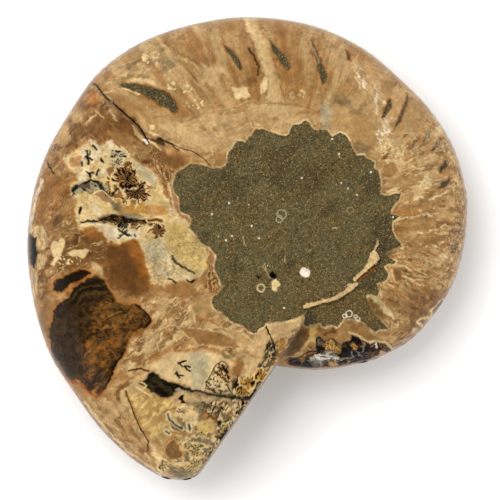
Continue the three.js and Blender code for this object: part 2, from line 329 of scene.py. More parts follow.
def spline(corners, steps):
    """Points along a smooth curve through the given corners, evenly spaced."""
    last = len(corners) - 1
    at = np.linspace(0.0, last, CURVE_STEPS)
    index = np.minimum(at.astype(int), last - 1)
    share = (at - index)[:, None]
    before = corners[np.maximum(index - 1, 0)]
    start = corners[index]
    end = corners[index + 1]
    after = corners[np.minimum(index + 2, last)]
    leave = (end - before) * 0.5
    arrive = (after - start) * 0.5
    cubic = 2 * start - 2 * end + leave + arrive
    square = 3 * end - 3 * start - 2 * leave - arrive
    curve = cubic * share ** 3 + square * share ** 2 + leave * share + start
    lengths = lengths_along(curve)
    even = np.linspace(0.0, lengths[-1], steps)
    return np.stack([np.interp(even, lengths, curve[:, axis]) for axis in (0, 1)], axis=1)


def fitted_outline():
    """The venter's points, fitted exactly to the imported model's box."""
    cad_low, cad_high = (np.array(corner) * MM_PER_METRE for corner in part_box("ammonite"))
    venter = spline(to_millimetres(points(VENTER)), VENTER_STEPS)
    low = venter.min(axis=0)
    high = venter.max(axis=0)
    scale = (cad_high[:2] - cad_low[:2]) / (high - low)
    return (venter - (low + high) / 2) * scale + (cad_low[:2] + cad_high[:2]) / 2


venter_line = fitted_outline()
venter_lengths = lengths_along(venter_line)
notch = venter_line[0]
tip = venter_line[-1]
seam_inner_end = to_millimetres(SEAM_INNER_END)
mouth_run = (notch - tip) / np.hypot(*(notch - tip))
mouth_out = np.array([mouth_run[1], -mouth_run[0]])
coarse_venter = venter_line[::COARSE_STEP]
outer_venter = coarse_venter[venter_lengths[::COARSE_STEP] >= NOTCH_LENGTH]


def past_ledge(x, y, start, end):
    """Signed distance past a line, positive on the covered whorl's side."""
    along = (end - start) / np.hypot(*(end - start))
    return (x - start[0]) * along[1] - (y - start[1]) * along[0]


def aperture_round(x, y):
    """How far the rounded edge of the aperture wall has risen, 0 to 1."""
    return rounded(path_distance(x, y, [tip, notch]) / WALL_ROUND, 2.0)


def front_height(x, y):
    """Height of the polished flank in millimetres."""
    dome = DOME * (1.0 - DOME_FALL * (x ** 2 + y ** 2) / DOME_REACH ** 2)
    last_whorl = dome * rounded(path_distance(x, y, outer_venter) / RIM, RIM_POWER)
    seam_run = (seam_inner_end - notch) / np.hypot(*(seam_inner_end - notch))
    beyond = np.maximum((x - seam_inner_end[0]) * seam_run[0] + (y - seam_inner_end[1]) * seam_run[1], 0.0)
    half = SEAM_HALF + SEAM_SPREAD * beyond
    share = smoothstep(-half, half, past_ledge(x, y, notch, seam_inner_end))
    from_seam = np.hypot(x - seam_inner_end[0], y - seam_inner_end[1])
    drop = SEAM_DROP * np.exp(-((from_seam / SEAM_DROP_REACH) ** 2))
    covered = (dome - drop * share) * rounded(path_distance(x, y, coarse_venter) / RIM, RIM_POWER)
    return EQUATOR + aperture_round(x, y) * mix(last_whorl, covered, share)


def flank(turn):
    """How thick the whorl is below the equator at a turn of the coil, in millimetres."""
    slow = np.maximum(turn, -FLANK_SLOW_TURN)
    full = np.minimum(turn + FLANK_SLOW_TURN, 0.0)
    return FLANK_END * np.exp(COIL_GROWTH * (FLANK_SLOW_SHARE * slow + full))


def coil_depth(turn, radius):
    """Depth of the outermost whorl surface below the equator, at a turn and a distance from the pole."""
    depth = np.zeros(np.shape(radius))
    for whorl in range(INNER_WHORLS + 1):
        at = turn - whorl * 2 * np.pi
        reach = COIL_END_RADIUS * np.exp(COIL_GROWTH * at)
        wall = (radius - UMBILICUS_SHARE * reach) / (UMBILICUS_WALL_SHARE * reach)
        depth = np.maximum(depth, flank(at) * rounded(wall, 2.0))
    return depth


def coil_turn(x, y):
    """Turn of a point about the pole, from 0 at the aperture back to a whole turn at the notch."""
    notch_angle = math.atan2(notch[1] - POLE[1], notch[0] - POLE[0])
    return -np.mod(notch_angle - np.arctan2(y - POLE[1], x - POLE[0]), 2 * np.pi)


def back_height(x, y):
    """Height of the hidden flank in millimetres, flat at 0 where it lies on the floor."""
    radius = np.hypot(x - POLE[0], y - POLE[1])
    turn = coil_turn(x, y)
    offset = past_ledge(x, y, notch, POLE)
    towards = (x - POLE[0]) * (notch[0] - POLE[0]) + (y - POLE[1]) * (notch[1] - POLE[1]) > 0
    near = towards & (np.abs(offset) < SEAM_HALF)
    share = np.where(near, smoothstep(-SEAM_HALF, SEAM_HALF, offset), (turn < -np.pi) * 1.0)
    end_turn = np.where(near, 0.0, turn)
    start_turn = np.where(near, -2 * np.pi, turn)
    last, covered = (
        coil_depth(at, radius) * rounded(path_distance(x, y, rim) / BACK_RIM, BACK_POWER)
        for at, rim in ((end_turn, outer_venter), (start_turn, coarse_venter)))
    return np.maximum(EQUATOR - aperture_round(x, y) * mix(last, covered, share), 0.0)


# The skin's grid: columns run round the outline, rows from the rim in towards the pole

def outline_point(share):
    """A point of the whole outline, venter and aperture, at a share of its length."""
    aperture = np.hypot(*(notch - tip))
    whole = venter_lengths[-1] + aperture
    at = share * whole
    on_venter = np.stack([np.interp(at, venter_lengths, venter_line[:, axis]) for axis in (0, 1)], axis=-1)
    along = np.clip((at - venter_lengths[-1]) / aperture, 0.0, 1.0)[..., None]
    return np.where((at <= venter_lengths[-1])[..., None], on_venter, mix(tip, notch, along))


def rim_inset(share, rows_share):
    """How far in from the outline a row lies inside the rounded rim."""
    angle = np.clip(share / rows_share, 0.0, 1.0) * (np.pi / 2)
    return RIM * (1.0 - np.clip(np.cos(angle), 0.0, 1.0) ** (2.0 / RIM_POWER))


def deselect_all():
    """Back to object mode, with nothing selected."""
    if bpy.context.object and bpy.context.object.mode != "OBJECT":
        bpy.ops.object.mode_set(mode="OBJECT")
    bpy.ops.object.select_all(action="DESELECT")


def read_places(piece):
    """A mesh's vertices, in metres."""
    places = np.empty(len(piece.data.vertices) * 3)
    piece.data.vertices.foreach_get("co", places)
    return places.reshape(-1, 3)


def write_places(piece, x, y, level):
    """Moves a mesh's vertices to places given in millimetres."""
    places = np.stack([x, y, level], axis=1) / MM_PER_METRE
    piece.data.vertices.foreach_set("co", places.ravel())
    piece.data.update()


def new_grid(name, columns, rows):
    """A flat unit grid, with the share along and the share across of each of its vertices."""
    deselect_all()
    bpy.ops.mesh.primitive_grid_add(x_subdivisions=columns, y_subdivisions=rows, size=1.0)
    piece = bpy.context.object
    piece.name = name
    piece.data.name = name
    places = read_places(piece)
    return piece, places[:, 0] + 0.5, places[:, 1] + 0.5


def finish_mesh(piece, flipped):
    """Closes seams and poles, turns the faces outwards and shades them smooth."""
    deselect_all()
    piece.select_set(True)
    bpy.context.view_layer.objects.active = piece
    bpy.ops.object.mode_set(mode="EDIT")
    bpy.ops.mesh.select_all(action="SELECT")
    bpy.ops.mesh.remove_doubles(threshold=MERGE_DISTANCE)
    if flipped:
        bpy.ops.mesh.flip_normals()
    bpy.ops.object.mode_set(mode="OBJECT")
    bpy.ops.object.shade_smooth()


def along_spokes(share, inwards, rim_rows_share, inner_radius):
    """Places on the spokes from the outline in to a circle about the pole, close together inside the rim."""
    edge = outline_point(share)
    spoke = POLE - edge
    length = np.hypot(spoke[:, 0], spoke[:, 1])
    spoke /= length[:, None]
    inset = rim_inset(inwards, rim_rows_share)
    beyond = np.clip((inwards - rim_rows_share) / (1.0 - rim_rows_share), 0.0, 1.0)
    inset += (length - inner_radius - RIM) * beyond
    return (edge + spoke * inset[:, None]).T


def skin_piece(name, start, end):
    """One sector of the polished flank, from the equator in to the edge of the core."""
    piece, across, inwards = new_grid(name, SKIN_COLUMNS, SKIN_ROWS)
    x, y = along_spokes(mix(start, end, across), inwards, RIM_ROWS_SHARE, CORE_RADIUS)
    level = front_height(x, y)
    level -= sunk_depth(*to_pixels(x, y, level))
    level[inwards < ON_EDGE] = EQUATOR
    write_places(piece, x, y, level)
    finish_mesh(piece, flipped=False)
    return piece


def core_piece(name):
    """The middle of the polished flank, which reaches a hair under the skin around it."""
    piece, across, inwards = new_grid(name, CORE_COLUMNS, CORE_ROWS)
    angle = across * 2 * np.pi
    radius = (CORE_RADIUS + CORE_OVERLAP) * (1.0 - inwards)
    x = POLE[0] + radius * np.cos(angle)
    y = POLE[1] + radius * np.sin(angle)
    lip = CORE_LIP * smoothstep(CORE_RADIUS - 0.2, CORE_RADIUS + 0.1, radius)
    level = front_height(x, y) - lip
    write_places(piece, x, y, level - sunk_depth(*to_pixels(x, y, level)))
    finish_mesh(piece, flipped=False)
    return piece


def back_piece(name):
    """The hidden flank, from the equator in to the umbilicus."""
    piece, across, inwards = new_grid(name, BACK_COLUMNS, BACK_ROWS)
    x, y = along_spokes(across, inwards, BACK_RIM_ROWS_SHARE, 0.0)
    level = back_height(x, y)
    level[inwards < ON_EDGE] = EQUATOR
    write_places(piece, x, y, level)
    finish_mesh(piece, flipped=True)
    return piece


def sunk_depth(x, y):
    """How far the soft or broken places lie under the polish, in millimetres. x and y are pixels."""
    mud = signed_distance(x, y, MUDSTONE) * PIXEL
    bars = np.minimum(*(signed_distance(x, y, bar) for bar in SHELL_BARS)) * PIXEL
    depth = MUDSTONE_DEPTH * smoothstep(0.15, -0.15, mud) * smoothstep(-0.1, 0.15, bars)
    crystals = signed_distance(x, y, CRYSTAL_STRIP) * PIXEL
    depth += CRYSTAL_DEPTH * smoothstep(0.2, -0.8, crystals)
    crack = path_distance(x, y, MAIN_CRACK) * PIXEL
    depth += CRACK_DEPTH * smoothstep(0.25, 0.05, crack)
    return depth


def crystal_crust(name):
    """The crust of crystals that lines the hollow along the older whorl's rim."""
    outline = points(CRYSTAL_STRIP)
    piece, across, down = new_grid(name, CRUST_COLUMNS, CRUST_ROWS)
    seen_x = mix(outline[:, 0].min() - 1, outline[:, 0].max() + 1, across)
    seen_y = mix(outline[:, 1].min() - 1, outline[:, 1].max() + 1, down)
    x, y = to_millimetres(np.stack([seen_x, seen_y], axis=1)).T
    level = front_height(x, y)
    seen_x, seen_y = to_pixels(x, y, level)
    inside = -signed_distance(seen_x, seen_y, CRYSTAL_STRIP) * PIXEL
    large, large_in = cells(x / LARGE_CRYSTAL + y / 3.0, y / LARGE_CRYSTAL, 402)
    small, small_in = cells(x / SMALL_CRYSTAL, y / SMALL_CRYSTAL - x / 1.8, 405)
    high = CRYSTAL_DEPTH * (0.25 + 0.75 * np.abs(large)) * np.clip(large_in * 1.8, 0.0, 1.0)
    low = 0.5 * CRYSTAL_DEPTH * (0.3 + 0.7 * np.abs(small)) * np.clip(small_in * 1.6, 0.0, 1.0)
    rise = np.maximum(high, low) * smoothstep(-0.1, 0.5, inside)
    sunk = CRYSTAL_DEPTH * smoothstep(-0.2, 0.8, inside) + CRUST_BEDDING
    write_places(piece, x, y, level - np.maximum(sunk - rise, 0.04))
    finish_mesh(piece, flipped=True)
    bpy.ops.object.mode_set(mode="EDIT")
    bpy.ops.mesh.select_all(action="DESELECT")
    bpy.ops.object.mode_set(mode="OBJECT")
    piece.data.vertices.foreach_set("select", inside < -0.3)
    bpy.ops.object.mode_set(mode="EDIT")
    bpy.ops.mesh.delete(type="VERT")
    bpy.ops.object.mode_set(mode="OBJECT")
    bpy.ops.object.shade_flat()
    return piece


# Painting: colours laid on the skin's vertices in patches, strokes, specks, bands and plumes

# How a painted edge looks: its softness and its raggedness, in pixels
EDGES = {
    "cut": (0.5, 0.6), "sharp": (0.9, 1.2), "torn": (1.6, 1.8), "soft": (3.0, 2.8), "faded": (6.0, 4.0),
    "cloudy": (10.0, 6.0),
}


class Skin:
    """The vertices of one piece, with the colours and masks painted on them."""

    def __init__(self, piece):
        places = read_places(piece) * MM_PER_METRE
        self.piece = piece
        self.places = places
        self.x, self.y = to_pixels(*places.T)
        away = places[:, :2] - POLE
        reach = np.hypot(*away.T)
        away /= np.maximum(reach, ON_EDGE)[:, None]
        self.on_mouth = np.nonzero(path_distance(places[:, 0], places[:, 1], [tip, notch]) < WALL_ROUND)[0]
        away[self.on_mouth] = mouth_out
        down_side = np.maximum(EQUATOR + SHOULDER - places[:, 2], 0.0) / PIXEL
        self.flat_x = self.x + down_side * away[:, 0]
        self.flat_y = self.y - down_side * away[:, 1]
        self.spoke_angle = np.arctan2(places[:, 1] - POLE[1], places[:, 0] - POLE[0])
        self.spoke_reach = reach / PIXEL + down_side
        self.tint = np.tile(linear("honey"), (len(self.x), 1))
        self.grit = np.zeros(len(self.x))
        self.wander_x = noise(self.flat_x, self.flat_y, WANDER_SIZE, 11, 4)
        self.wander_y = noise(self.flat_x, self.flat_y, WANDER_SIZE, 47, 4)
        self.shake_x = noise(self.flat_x, self.flat_y, SHAKE_SIZE, 5, 3)
        self.shake_y = noise(self.flat_x, self.flat_y, SHAKE_SIZE, 29, 3)

    def near(self, path, margin):
        """The vertices near a path."""
        left, top = points(path).min(axis=0) - margin
        right, bottom = points(path).max(axis=0) + margin
        return np.nonzero((self.x > left) & (self.x < right) & (self.y > top) & (self.y < bottom))[0]

    def shaken(self, at, ragged, down_sides=False):
        """Places moved about a little, for ragged edges. Down the sides, they are laid out flat first."""
        x, y = (self.flat_x, self.flat_y) if down_sides else (self.x, self.y)
        x = x[at] + ragged * (0.8 * self.wander_x[at] + 0.7 * self.shake_x[at])
        y = y[at] + ragged * (0.8 * self.wander_y[at] + 0.7 * self.shake_y[at])
        return x, y

    def lay(self, at, colour, share, over=True):
        """Lays a colour on vertices. One that lies over the sediment hides its grains."""
        self.tint[at] += (linear(colour) - self.tint[at]) * share[:, None]
        if over:
            self.grit[at] *= 1.0 - share

    def patch(self, colour, outline, edge="torn", strength=1.0, over=True):
        """Fills an outline with a colour."""
        soft, ragged = EDGES[edge]
        at = self.near(outline, soft + 3 * ragged + 1)
        if len(at):
            x, y = self.shaken(at, ragged)
            self.lay(at, colour, strength * smoothstep(soft, -soft, signed_distance(x, y, outline)), over)

    def sediment(self, outline, soft=0.5, ragged=0.4):
        """Fills an outline with dark grains of sediment."""
        at = self.near(outline, soft + 3 * ragged + 1)
        if len(at):
            x, y = self.shaken(at, ragged)
            share = smoothstep(soft, -soft, signed_distance(x, y, outline))
            self.lay(at, "mud", share)
            self.grit[at] = np.maximum(self.grit[at], share)

    def stroke(self, colour, path, width=1.0, edge="sharp", strength=1.0, closed=False, broken=False):
        """Draws a line of a colour along a path. A broken one comes and goes along its length."""
        soft, ragged = EDGES[edge]
        at = self.near(path, width + soft + 3 * ragged + 1)
        if len(at):
            x, y = self.shaken(at, ragged)
            share = strength * smoothstep(soft, -soft, path_distance(x, y, path, closed) - width / 2)
            if broken:
                share *= smoothstep(-0.5, 0.4, self.shake_x[at] + self.wander_y[at])
            self.lay(at, colour, share)

    def field(self, at, long, wide, turn, seed):
        """Noise drawn out along a direction: turn in degrees, or None for along the spokes from the pole."""
        if turn is None:
            around = self.spoke_angle[at] * 170 / wide + 0.1 * self.wander_x[at]
            outwards = (self.spoke_reach[at] + 2 * self.wander_y[at]) / long
            return noise(around, outwards, 1.0, seed, 3)
        along, across = turned(*self.shaken(at, 1.5, down_sides=True), turn)
        return noise(along / long, across / wide, 1.0, seed, 3)

    def inside(self, outline, soft):
        """The vertices in an outline, and how far each is in past its soft edge."""
        at = self.near(outline, soft + 8)
        x, y = self.shaken(at, 2.0)
        return at, smoothstep(soft, -soft, signed_distance(x, y, outline))

    def veins(self, colour, outline, long, wide, seed, turn=None, width=0.08, soft=4.0, strength=0.5):
        """Fine wavy lines of a colour inside an outline."""
        at, share = self.inside(outline, soft)
        if len(at):
            line = smoothstep(width, 0.2 * width, np.abs(self.field(at, long, wide, turn, seed)))
            self.lay(at, colour, strength * share * line)

    def mottle(self, colour, outline, long, wide, seed, turn=None, above=0.1, hard=0.15, soft=4.0,
               strength=0.5, over=True):
        """Ragged spots of a colour inside an outline."""
        at, share = self.inside(outline, soft)
        if len(at):
            spot = smoothstep(above - hard, above + hard, self.field(at, long, wide, turn, seed))
            self.lay(at, colour, strength * share * spot, over)

    def strokes(self, colour, paths, *how, **more):
        """Several lines of one colour, drawn alike."""
        for path in paths:
            self.stroke(colour, path, *how, **more)

    def blob(self, colour, centre, radius, squash=1.0, turn=0.0, ragged=2.0, strength=1.0, hard=0.0):
        """A soft oval of a colour. squash is its height over its width, and turn is in degrees."""
        reach = radius * max(1.0, squash) + 3 * ragged + 2
        at = self.near([centre], reach)
        if len(at):
            x, y = self.shaken(at, ragged)
            along, across = turned(x - centre[0], y - centre[1], turn)
            away = np.hypot(along / radius, across / (radius * squash))
            self.lay(at, colour, strength * smoothstep(1.0, hard, away))

    def ring(self, colour, centre, radius, width=1.0, strength=0.8):
        """A thin ring of a colour."""
        steps = [2 * math.pi * step / 16 for step in range(16)]
        path = [
            (centre[0] + radius * math.cos(angle), centre[1] + radius * math.sin(angle)) for angle in steps]
        self.stroke(colour, path, width, "cut", strength, closed=True)

    def specks(self, colour, centre, radius, count, size, seed, squash=1.0, strength=1.0):
        """Scatters small ragged spots in an oval."""
        spots = np.random.default_rng(seed)
        for _ in range(count):
            angle = spots.uniform(0, 2 * math.pi)
            reach = radius * math.sqrt(spots.uniform())
            spot = (centre[0] + reach * math.cos(angle), centre[1] + reach * math.sin(angle) * squash)
            width = size * spots.uniform(0.6, 1.5)
            flatness = spots.uniform(0.4, 1.0)
            turn = spots.uniform(0, 180)
            self.blob(colour, spot, width, flatness, turn, ragged=0.35, strength=strength, hard=0.5)

    def agate(self, outline, seed, size=12.0, stretch=3.0, turn=-40.0, rings=3.0, light="pale",
              dark="caramel", line="cream", strength=0.3, soft=5.0):
        """Cloudy bands, light and dark by turns, each with a fine light line along it."""
        at, share = self.inside(outline, soft)
        if not len(at):
            return
        band = self.field(at, size * stretch, size, turn, seed)
        wave = np.sin(band * rings * math.pi + 0.5 * self.shake_x[at])
        self.lay(at, light, strength * share * smoothstep(0.1, 1.0, wave))
        self.lay(at, dark, strength * share * smoothstep(-0.1, -1.0, wave))
        fine = smoothstep(0.16, 0.02, np.abs(wave - 0.5)) * smoothstep(-0.6, 0.6, self.wander_y[at])
        self.lay(at, line, min(1.0, 1.6 * strength) * share * fine)

    def shards(self, outline, seed, size=9.0, stretch=2.0, turn=-30.0, light="light_tan", dark="toffee",
               line="cream", strength=0.47):
        """Flakes and cleavage of the calcite: cells of lighter and darker stone, some with a light edge."""
        at, share = self.inside(outline, 5.0)
        if not len(at):
            return
        along, across = turned(*self.shaken(at, 2.5, down_sides=True), turn)
        value, inside = cells(along / (size * stretch), across / size, seed)
        slope = 0.5 + 0.5 * np.sin(6.0 * inside + 9.0 * value)
        self.lay(at, light, strength * share * smoothstep(0.0, 0.9, value) * mix(0.5, 1.0, slope))
        self.lay(at, dark, strength * share * smoothstep(0.0, -0.9, value) * mix(0.5, 1.0, slope))
        edge = smoothstep(0.9 / size, 0.2 / size, inside) * smoothstep(-0.2, 0.7, self.wander_x[at] + value)
        self.lay(at, line, min(1.0, 1.7 * strength) * share * edge)

    def crisp(self):
        """Deepens the polished stone's colours, and lays fine crumb and cloud over it."""
        crumb = 1.0 + 0.13 * noise(self.flat_x, self.flat_y, CRUMB_SIZE, 61, 2)
        crumb += 0.15 * noise(self.flat_x, self.flat_y, CLOUD_SIZE, 62, 2)
        crumb += 0.08 * noise(self.spoke_angle * 90, self.spoke_reach / 24, 1.0, 63, 2)
        crumb = np.clip(crumb, 0.35, 1.7)[:, None]
        deep = POLISH_GAIN * np.clip(self.tint, 0.0, 1.0) ** POLISH_DEPTH * crumb
        self.tint = mix(deep, self.tint, self.grit[:, None])

    def plume(self, centre, radius, seed, fingers, start=0, sweep=360, squash=1.0, heart="black",
              petal="caramel", fill=0.3):
        """A fan of dark mossy fingers, with flesh between them and light tips. Its start and sweep are in
        degrees, clockwise from the right."""
        at = self.near([centre], radius * 1.3 + 3)
        if not len(at):
            return
        x, y = self.shaken(at, 1.4)
        along = x - centre[0]
        down = (y - centre[1]) / squash
        turn = (np.degrees(np.arctan2(down, along)) - start) % 360
        bent = noise(along, down, 5.0, seed, 2)
        number = turn / sweep * fingers + 0.9 * self.wander_x[at] + 0.5 * bent
        finger = np.floor(number).astype(np.int64)
        fingertip = 0.78 + 0.22 * lattice_value(finger, np.full(len(at), 3), seed)
        wave = np.cos((number - 0.5) * 2 * np.pi) + 0.5 * bent
        reach = np.hypot(along, down) / radius / fingertip - 0.1 * wave
        fan = smoothstep(sweep + 4, sweep - 4, turn) if sweep < 360 else 1.0
        self.lay(at, "cream", 0.9 * fan * smoothstep(1.3, 1.15, reach))
        self.lay(at, petal, 0.9 * fan * smoothstep(1.08, 0.95, reach))
        lobes = smoothstep(-0.25, 0.25, wave + fill - 0.9 * np.clip(reach, 0.0, 1.0))
        self.lay(at, heart, fan * lobes * smoothstep(0.95, 0.85, reach))

    def fingers(self, paths, width=1.3, heart="bark", petal="caramel"):
        """Dark fingers with a coloured border and a light outline."""
        self.strokes("cream", paths, width + 4.2, "cut", 0.9)
        self.strokes(petal, paths, width + 2.4, "cut", 0.85)
        self.strokes(heart, paths, width, "cut")

    def save(self):
        """Writes the painted colour and the grain mask to the mesh."""
        colours = np.concatenate([np.clip(self.tint, 0.0, 1.0), np.ones((len(self.x), 1))], axis=1)
        layer = self.piece.data.attributes.new("tint", "FLOAT_COLOR", "POINT")
        layer.data.foreach_set("color", colours.astype(np.float32).ravel())
        layer = self.piece.data.attributes.new("grit", "FLOAT", "POINT")
        layer.data.foreach_set("value", np.ascontiguousarray(self.grit, np.float32))


# The markings, region by region. Numbers are pixels of the photograph

TOP_WEDGES = [
    "119,84 124,82 130,83 140,85 155,88 165,91 171,96 176,103 178,108 177,112 172,112 164,107 158,103 "
    "150,99 142,94 130,90 122,87",
    "223,44 228,48 233,52 238,58 241,64 243,68 240,70 236,65 231,57 226,50",
    "268,38 272,42 280,50 287,58 290,66 288,70 283,66 278,58 272,50",
    "311,41 315,47 319,56 322,64 327,74 327,82 322,84 320,78 318,66 314,56",
    "345,50 349,54 350,61 347,60",
    "389,99 392,101 392,108 388,112 385,117 381,118 383,113 386,107",
    "407,93 408,99 406,106 403,114 400,123 396,127 393,131 397,122 401,112 404,103",
]
RIGHT_WEDGES = [
    "431,128 431,132 428,138 424,143 423,142 427,134", "440,136 440,142 437,148 433,152 432,151 436,144",
    "449,159 450,163 444,170 440,174 438,173 440,168 444,161",
    "450,177 450,181 446,186 440,190 438,189 443,183",
]


def paint_broad_tones(skin):
    """The broad browns and tans of the polished shell."""
    skin.patch("tawny", "92,80 125,50 160,32 205,18 252,12 262,60 262,100 190,120 150,112", "cloudy")
    skin.patch("tawny", "280,14 330,26 370,50 395,80 350,102 325,95 290,95 278,60", "cloudy")
    skin.patch("sand", "370,50 430,105 455,150 468,190 400,198 378,190 350,150 340,130 350,100", "cloudy")
    skin.patch("tawny", "395,195 470,185 472,215 468,250 455,300 400,300 388,250", "cloudy", 0.8)
    skin.patch("caramel", "400,198 450,200 445,300 400,290 394,240", "cloudy", 0.35)
    skin.patch("light_tan",
        "150,112 175,118 189,119 225,108 256,101 300,98 322,108 330,128 290,138 245,145 228,165 200,168 "
        "170,148 155,128", "faded")
    skin.patch("sand", "184,148 228,142 228,160 218,170 205,168 190,160", "soft")
    skin.patch("toffee",
        "50,150 72,118 90,96 112,108 140,130 152,148 168,172 150,172 135,160 110,143 90,140 66,158",
        "faded")
    skin.patch("tawny", "28,190 48,152 66,162 76,182 80,230 112,246 60,285 26,290 24,240", "faded")
    skin.patch("light_tan",
        "112,392 122,346 145,325 152,300 200,288 222,312 262,332 268,345 262,358 215,356 165,356 128,382",
        "faded")
    skin.patch("sand", "88,398 115,390 128,400 140,430 152,447 162,478 140,470 106,440", "soft")


def paint_calcite(skin):
    """The flakes, veils and bands of the calcite that has replaced the shell."""
    top = "92,80 125,48 160,30 205,14 252,10 330,20 400,70 400,130 350,110 256,100 190,118 150,112"
    margin = (
        "150,112 189,119 256,101 320,100 352,112 378,150 350,150 320,130 290,136 245,145 228,168 200,170 "
        "165,150")
    right = "372,150 400,110 440,118 472,190 470,250 450,310 410,345 372,310 392,250 400,200"
    left = (
        "28,190 60,120 92,80 112,100 150,146 172,176 140,170 100,140 70,160 80,230 112,246 150,290 60,300 "
        "24,300 22,230")
    waist = (
        "112,392 128,340 140,300 200,285 222,312 262,332 306,313 304,325 276,366 262,358 215,354 165,356 "
        "128,382")
    foot = "88,396 115,388 128,400 152,447 164,480 130,470 96,430"
    skin.shards(top, 301, stretch=2.6, turn=-38, dark="caramel", strength=0.3)
    skin.shards(top, 304, size=4.5, stretch=2.2, dark="caramel", strength=0.22)
    skin.agate(top, 307, rings=2.5, light="light_tan")
    skin.shards(margin, 311, size=10, stretch=2.4, turn=-20, light="pale", dark="tawny")
    skin.agate(margin, 314, size=15, stretch=2.6, turn=-15, rings=2.5, dark="tawny", strength=0.41)
    skin.shards(left, 321, stretch=2.4, light="sand", dark="umber", line="pale", strength=0.54)
    skin.shards(left, 324, size=4.5, line="pale", strength=0.38)
    skin.agate(left, 327, stretch=2.8, turn=-28, rings=2.5, light="light_tan", dark="umber", strength=0.41)
    skin.shards(waist, 331, size=11, stretch=1.8, turn=-25, light="pale", strength=0.61)
    skin.shards(waist, 334, size=5.5, turn=-25, light="cream", dark="caramel")
    skin.agate(waist, 337, size=14, stretch=2.4, turn=-25, strength=0.43)
    skin.shards(foot, 341, size=14, turn=55, strength=0.41)
    skin.agate(foot, 344, size=18, stretch=2, turn=55, rings=2.5, strength=0.47)
    skin.shards(right, 351, size=6, stretch=2.4, turn=-8, light="pale", strength=0.43)
    skin.shards(right, 354, size=3.5, turn=-8, light="cream", dark="caramel", strength=0.34)


def paint_top(skin):
    """The top of the last whorl: sandy bands, with cream crumbs at the left and a painted highlight among
    them.
    """
    whole = (
        "92,80 125,50 160,32 205,18 252,12 330,26 395,72 440,118 400,140 350,130 256,100 190,118 150,110")
    skin.patch("sand", whole, "faded", 0.7)
    skin.mottle("pale", whole, 46, 8, 8, hard=0.4, strength=0.55)
    skin.mottle("caramel", whole, 40, 7, 3, above=0.3, hard=0.4)
    skin.veins("pale", whole, 50, 6, 21, strength=0.45)
    skin.veins("toffee", whole, 44, 6, 23, width=0.06, strength=0.4)
    left_top = "104,68 160,44 176,60 168,84 130,84 104,84"
    skin.mottle("cream", left_top, 9, 4, 31, turn=-20, above=0.5, hard=0.2, strength=0.45)
    skin.patch("slate", "157,53 166,56 172,66 164,66 158,60", "soft", 0.45)
    skin.mottle("olive_grey", left_top, 8, 4, 33, turn=-20, above=0.4)
    skin.patch("cream", "126,81 134,77 142,79 152,80 158,84 148,86 134,84", "torn", 0.75)
    # The specks about (146, 58) and (152, 58) are partly cream crumbs and partly a painted highlight.
    crumbs = [
        ((152, 58), 10, 1.4), ((146, 58), 5, 2.0), ((182, 88), 10, 1.6), ((196, 105), 10, 1.4),
        ((171, 86), 6, 1.8), ((299, 95), 9, 1.7),
    ]
    for centre, radius, size in crumbs:
        skin.specks("cream", centre, radius, 11, size, 41 + int(centre[0]), squash=0.7)
    skin.strokes("umber", ["163,43 175,50 190,58 204,67", "190,74 198,82"], 1.6, "sharp", 0.5)
    skin.strokes("pale", ["168,54 176,64 186,74", "180,56 196,66 206,76"], 2, "torn", 0.7)
    skin.patch("pale", "200,62 209,66 218,63 222,70 219,80 210,88 203,80", "torn", 0.8)


def paint_light_band(skin):
    """The light band across the top, with a darker one on each side."""
    skin.blob("bark", (250, 82), 9, squash=0.9, strength=0.7)
    skin.stroke("soot", "249,48 253,55 256,61 258,67 257,74", 2.6, "sharp", 0.95)
    light_band = points("250,20 258,36 265,55 271,76 274,96 282,116")
    skin.stroke("caramel", light_band - (20, 0), 14, "cloudy", 0.5)
    skin.stroke("caramel", light_band + (24, 0), 22, "cloudy", 0.5)
    for side in (-8, 8):
        skin.stroke("toffee", light_band + (side, 0), 1.8, "torn", 0.5)
    skin.stroke("light_tan", light_band, 13, "torn", 0.95)
    skin.stroke("pale", light_band - (1, 0), 9, "torn", 0.85)
    skin.stroke("cream", light_band - (3, 0), 1.4, "soft", 0.6)
    skin.patch("pale", "252,104 272,98 296,102 306,112 290,122 262,122 246,114", "faded", 0.7)
    skin.patch("cream", "232,88 240,86.5 247,89 250,96 243,98 234,98")
    skin.patch("cream", "264,77 266.5,80 266,90 262,94.5 260,92 260,84", "sharp")


def paint_top_veil(skin):
    """The pale veil at the upper right, and the dark wedges of sediment along the top."""
    veil = "350,60 362,72 374,84 386,96 392,132 378,150 372,132 378,112 366,98 356,84"
    skin.patch("light_tan", "345,60 372,64 412,104 424,130 396,140 360,120", "faded", 0.5)
    skin.mottle("pale", veil, 8, 4, 60, turn=60, above=0.0, hard=0.3, strength=0.75)
    skin.mottle("white", veil, 5, 1.6, 62, turn=60, above=0.45, hard=0.2, strength=0.7)
    for centre, radius in [((374, 108), 12), ((388, 122), 9), ((384, 132), 8)]:
        skin.specks("pale", centre, radius, 14, 1.4, int(centre[0]))
    for wedge in TOP_WEDGES:
        skin.stroke("apricot", wedge, 4, "torn", 0.35, closed=True)
        skin.stroke("rust", wedge, 1.8, "sharp", 0.6, closed=True, broken=True)
        skin.sediment(wedge)
        skin.patch("soot", wedge, "torn", 0.35, over=False)
    skin.stroke("cream", "122,88 131,91 139,94", 1.6, "cut")
    skin.stroke("pale", points("311,41 315,47 319,56 322,64") - (3, 0), 1.2, "sharp", 0.6)


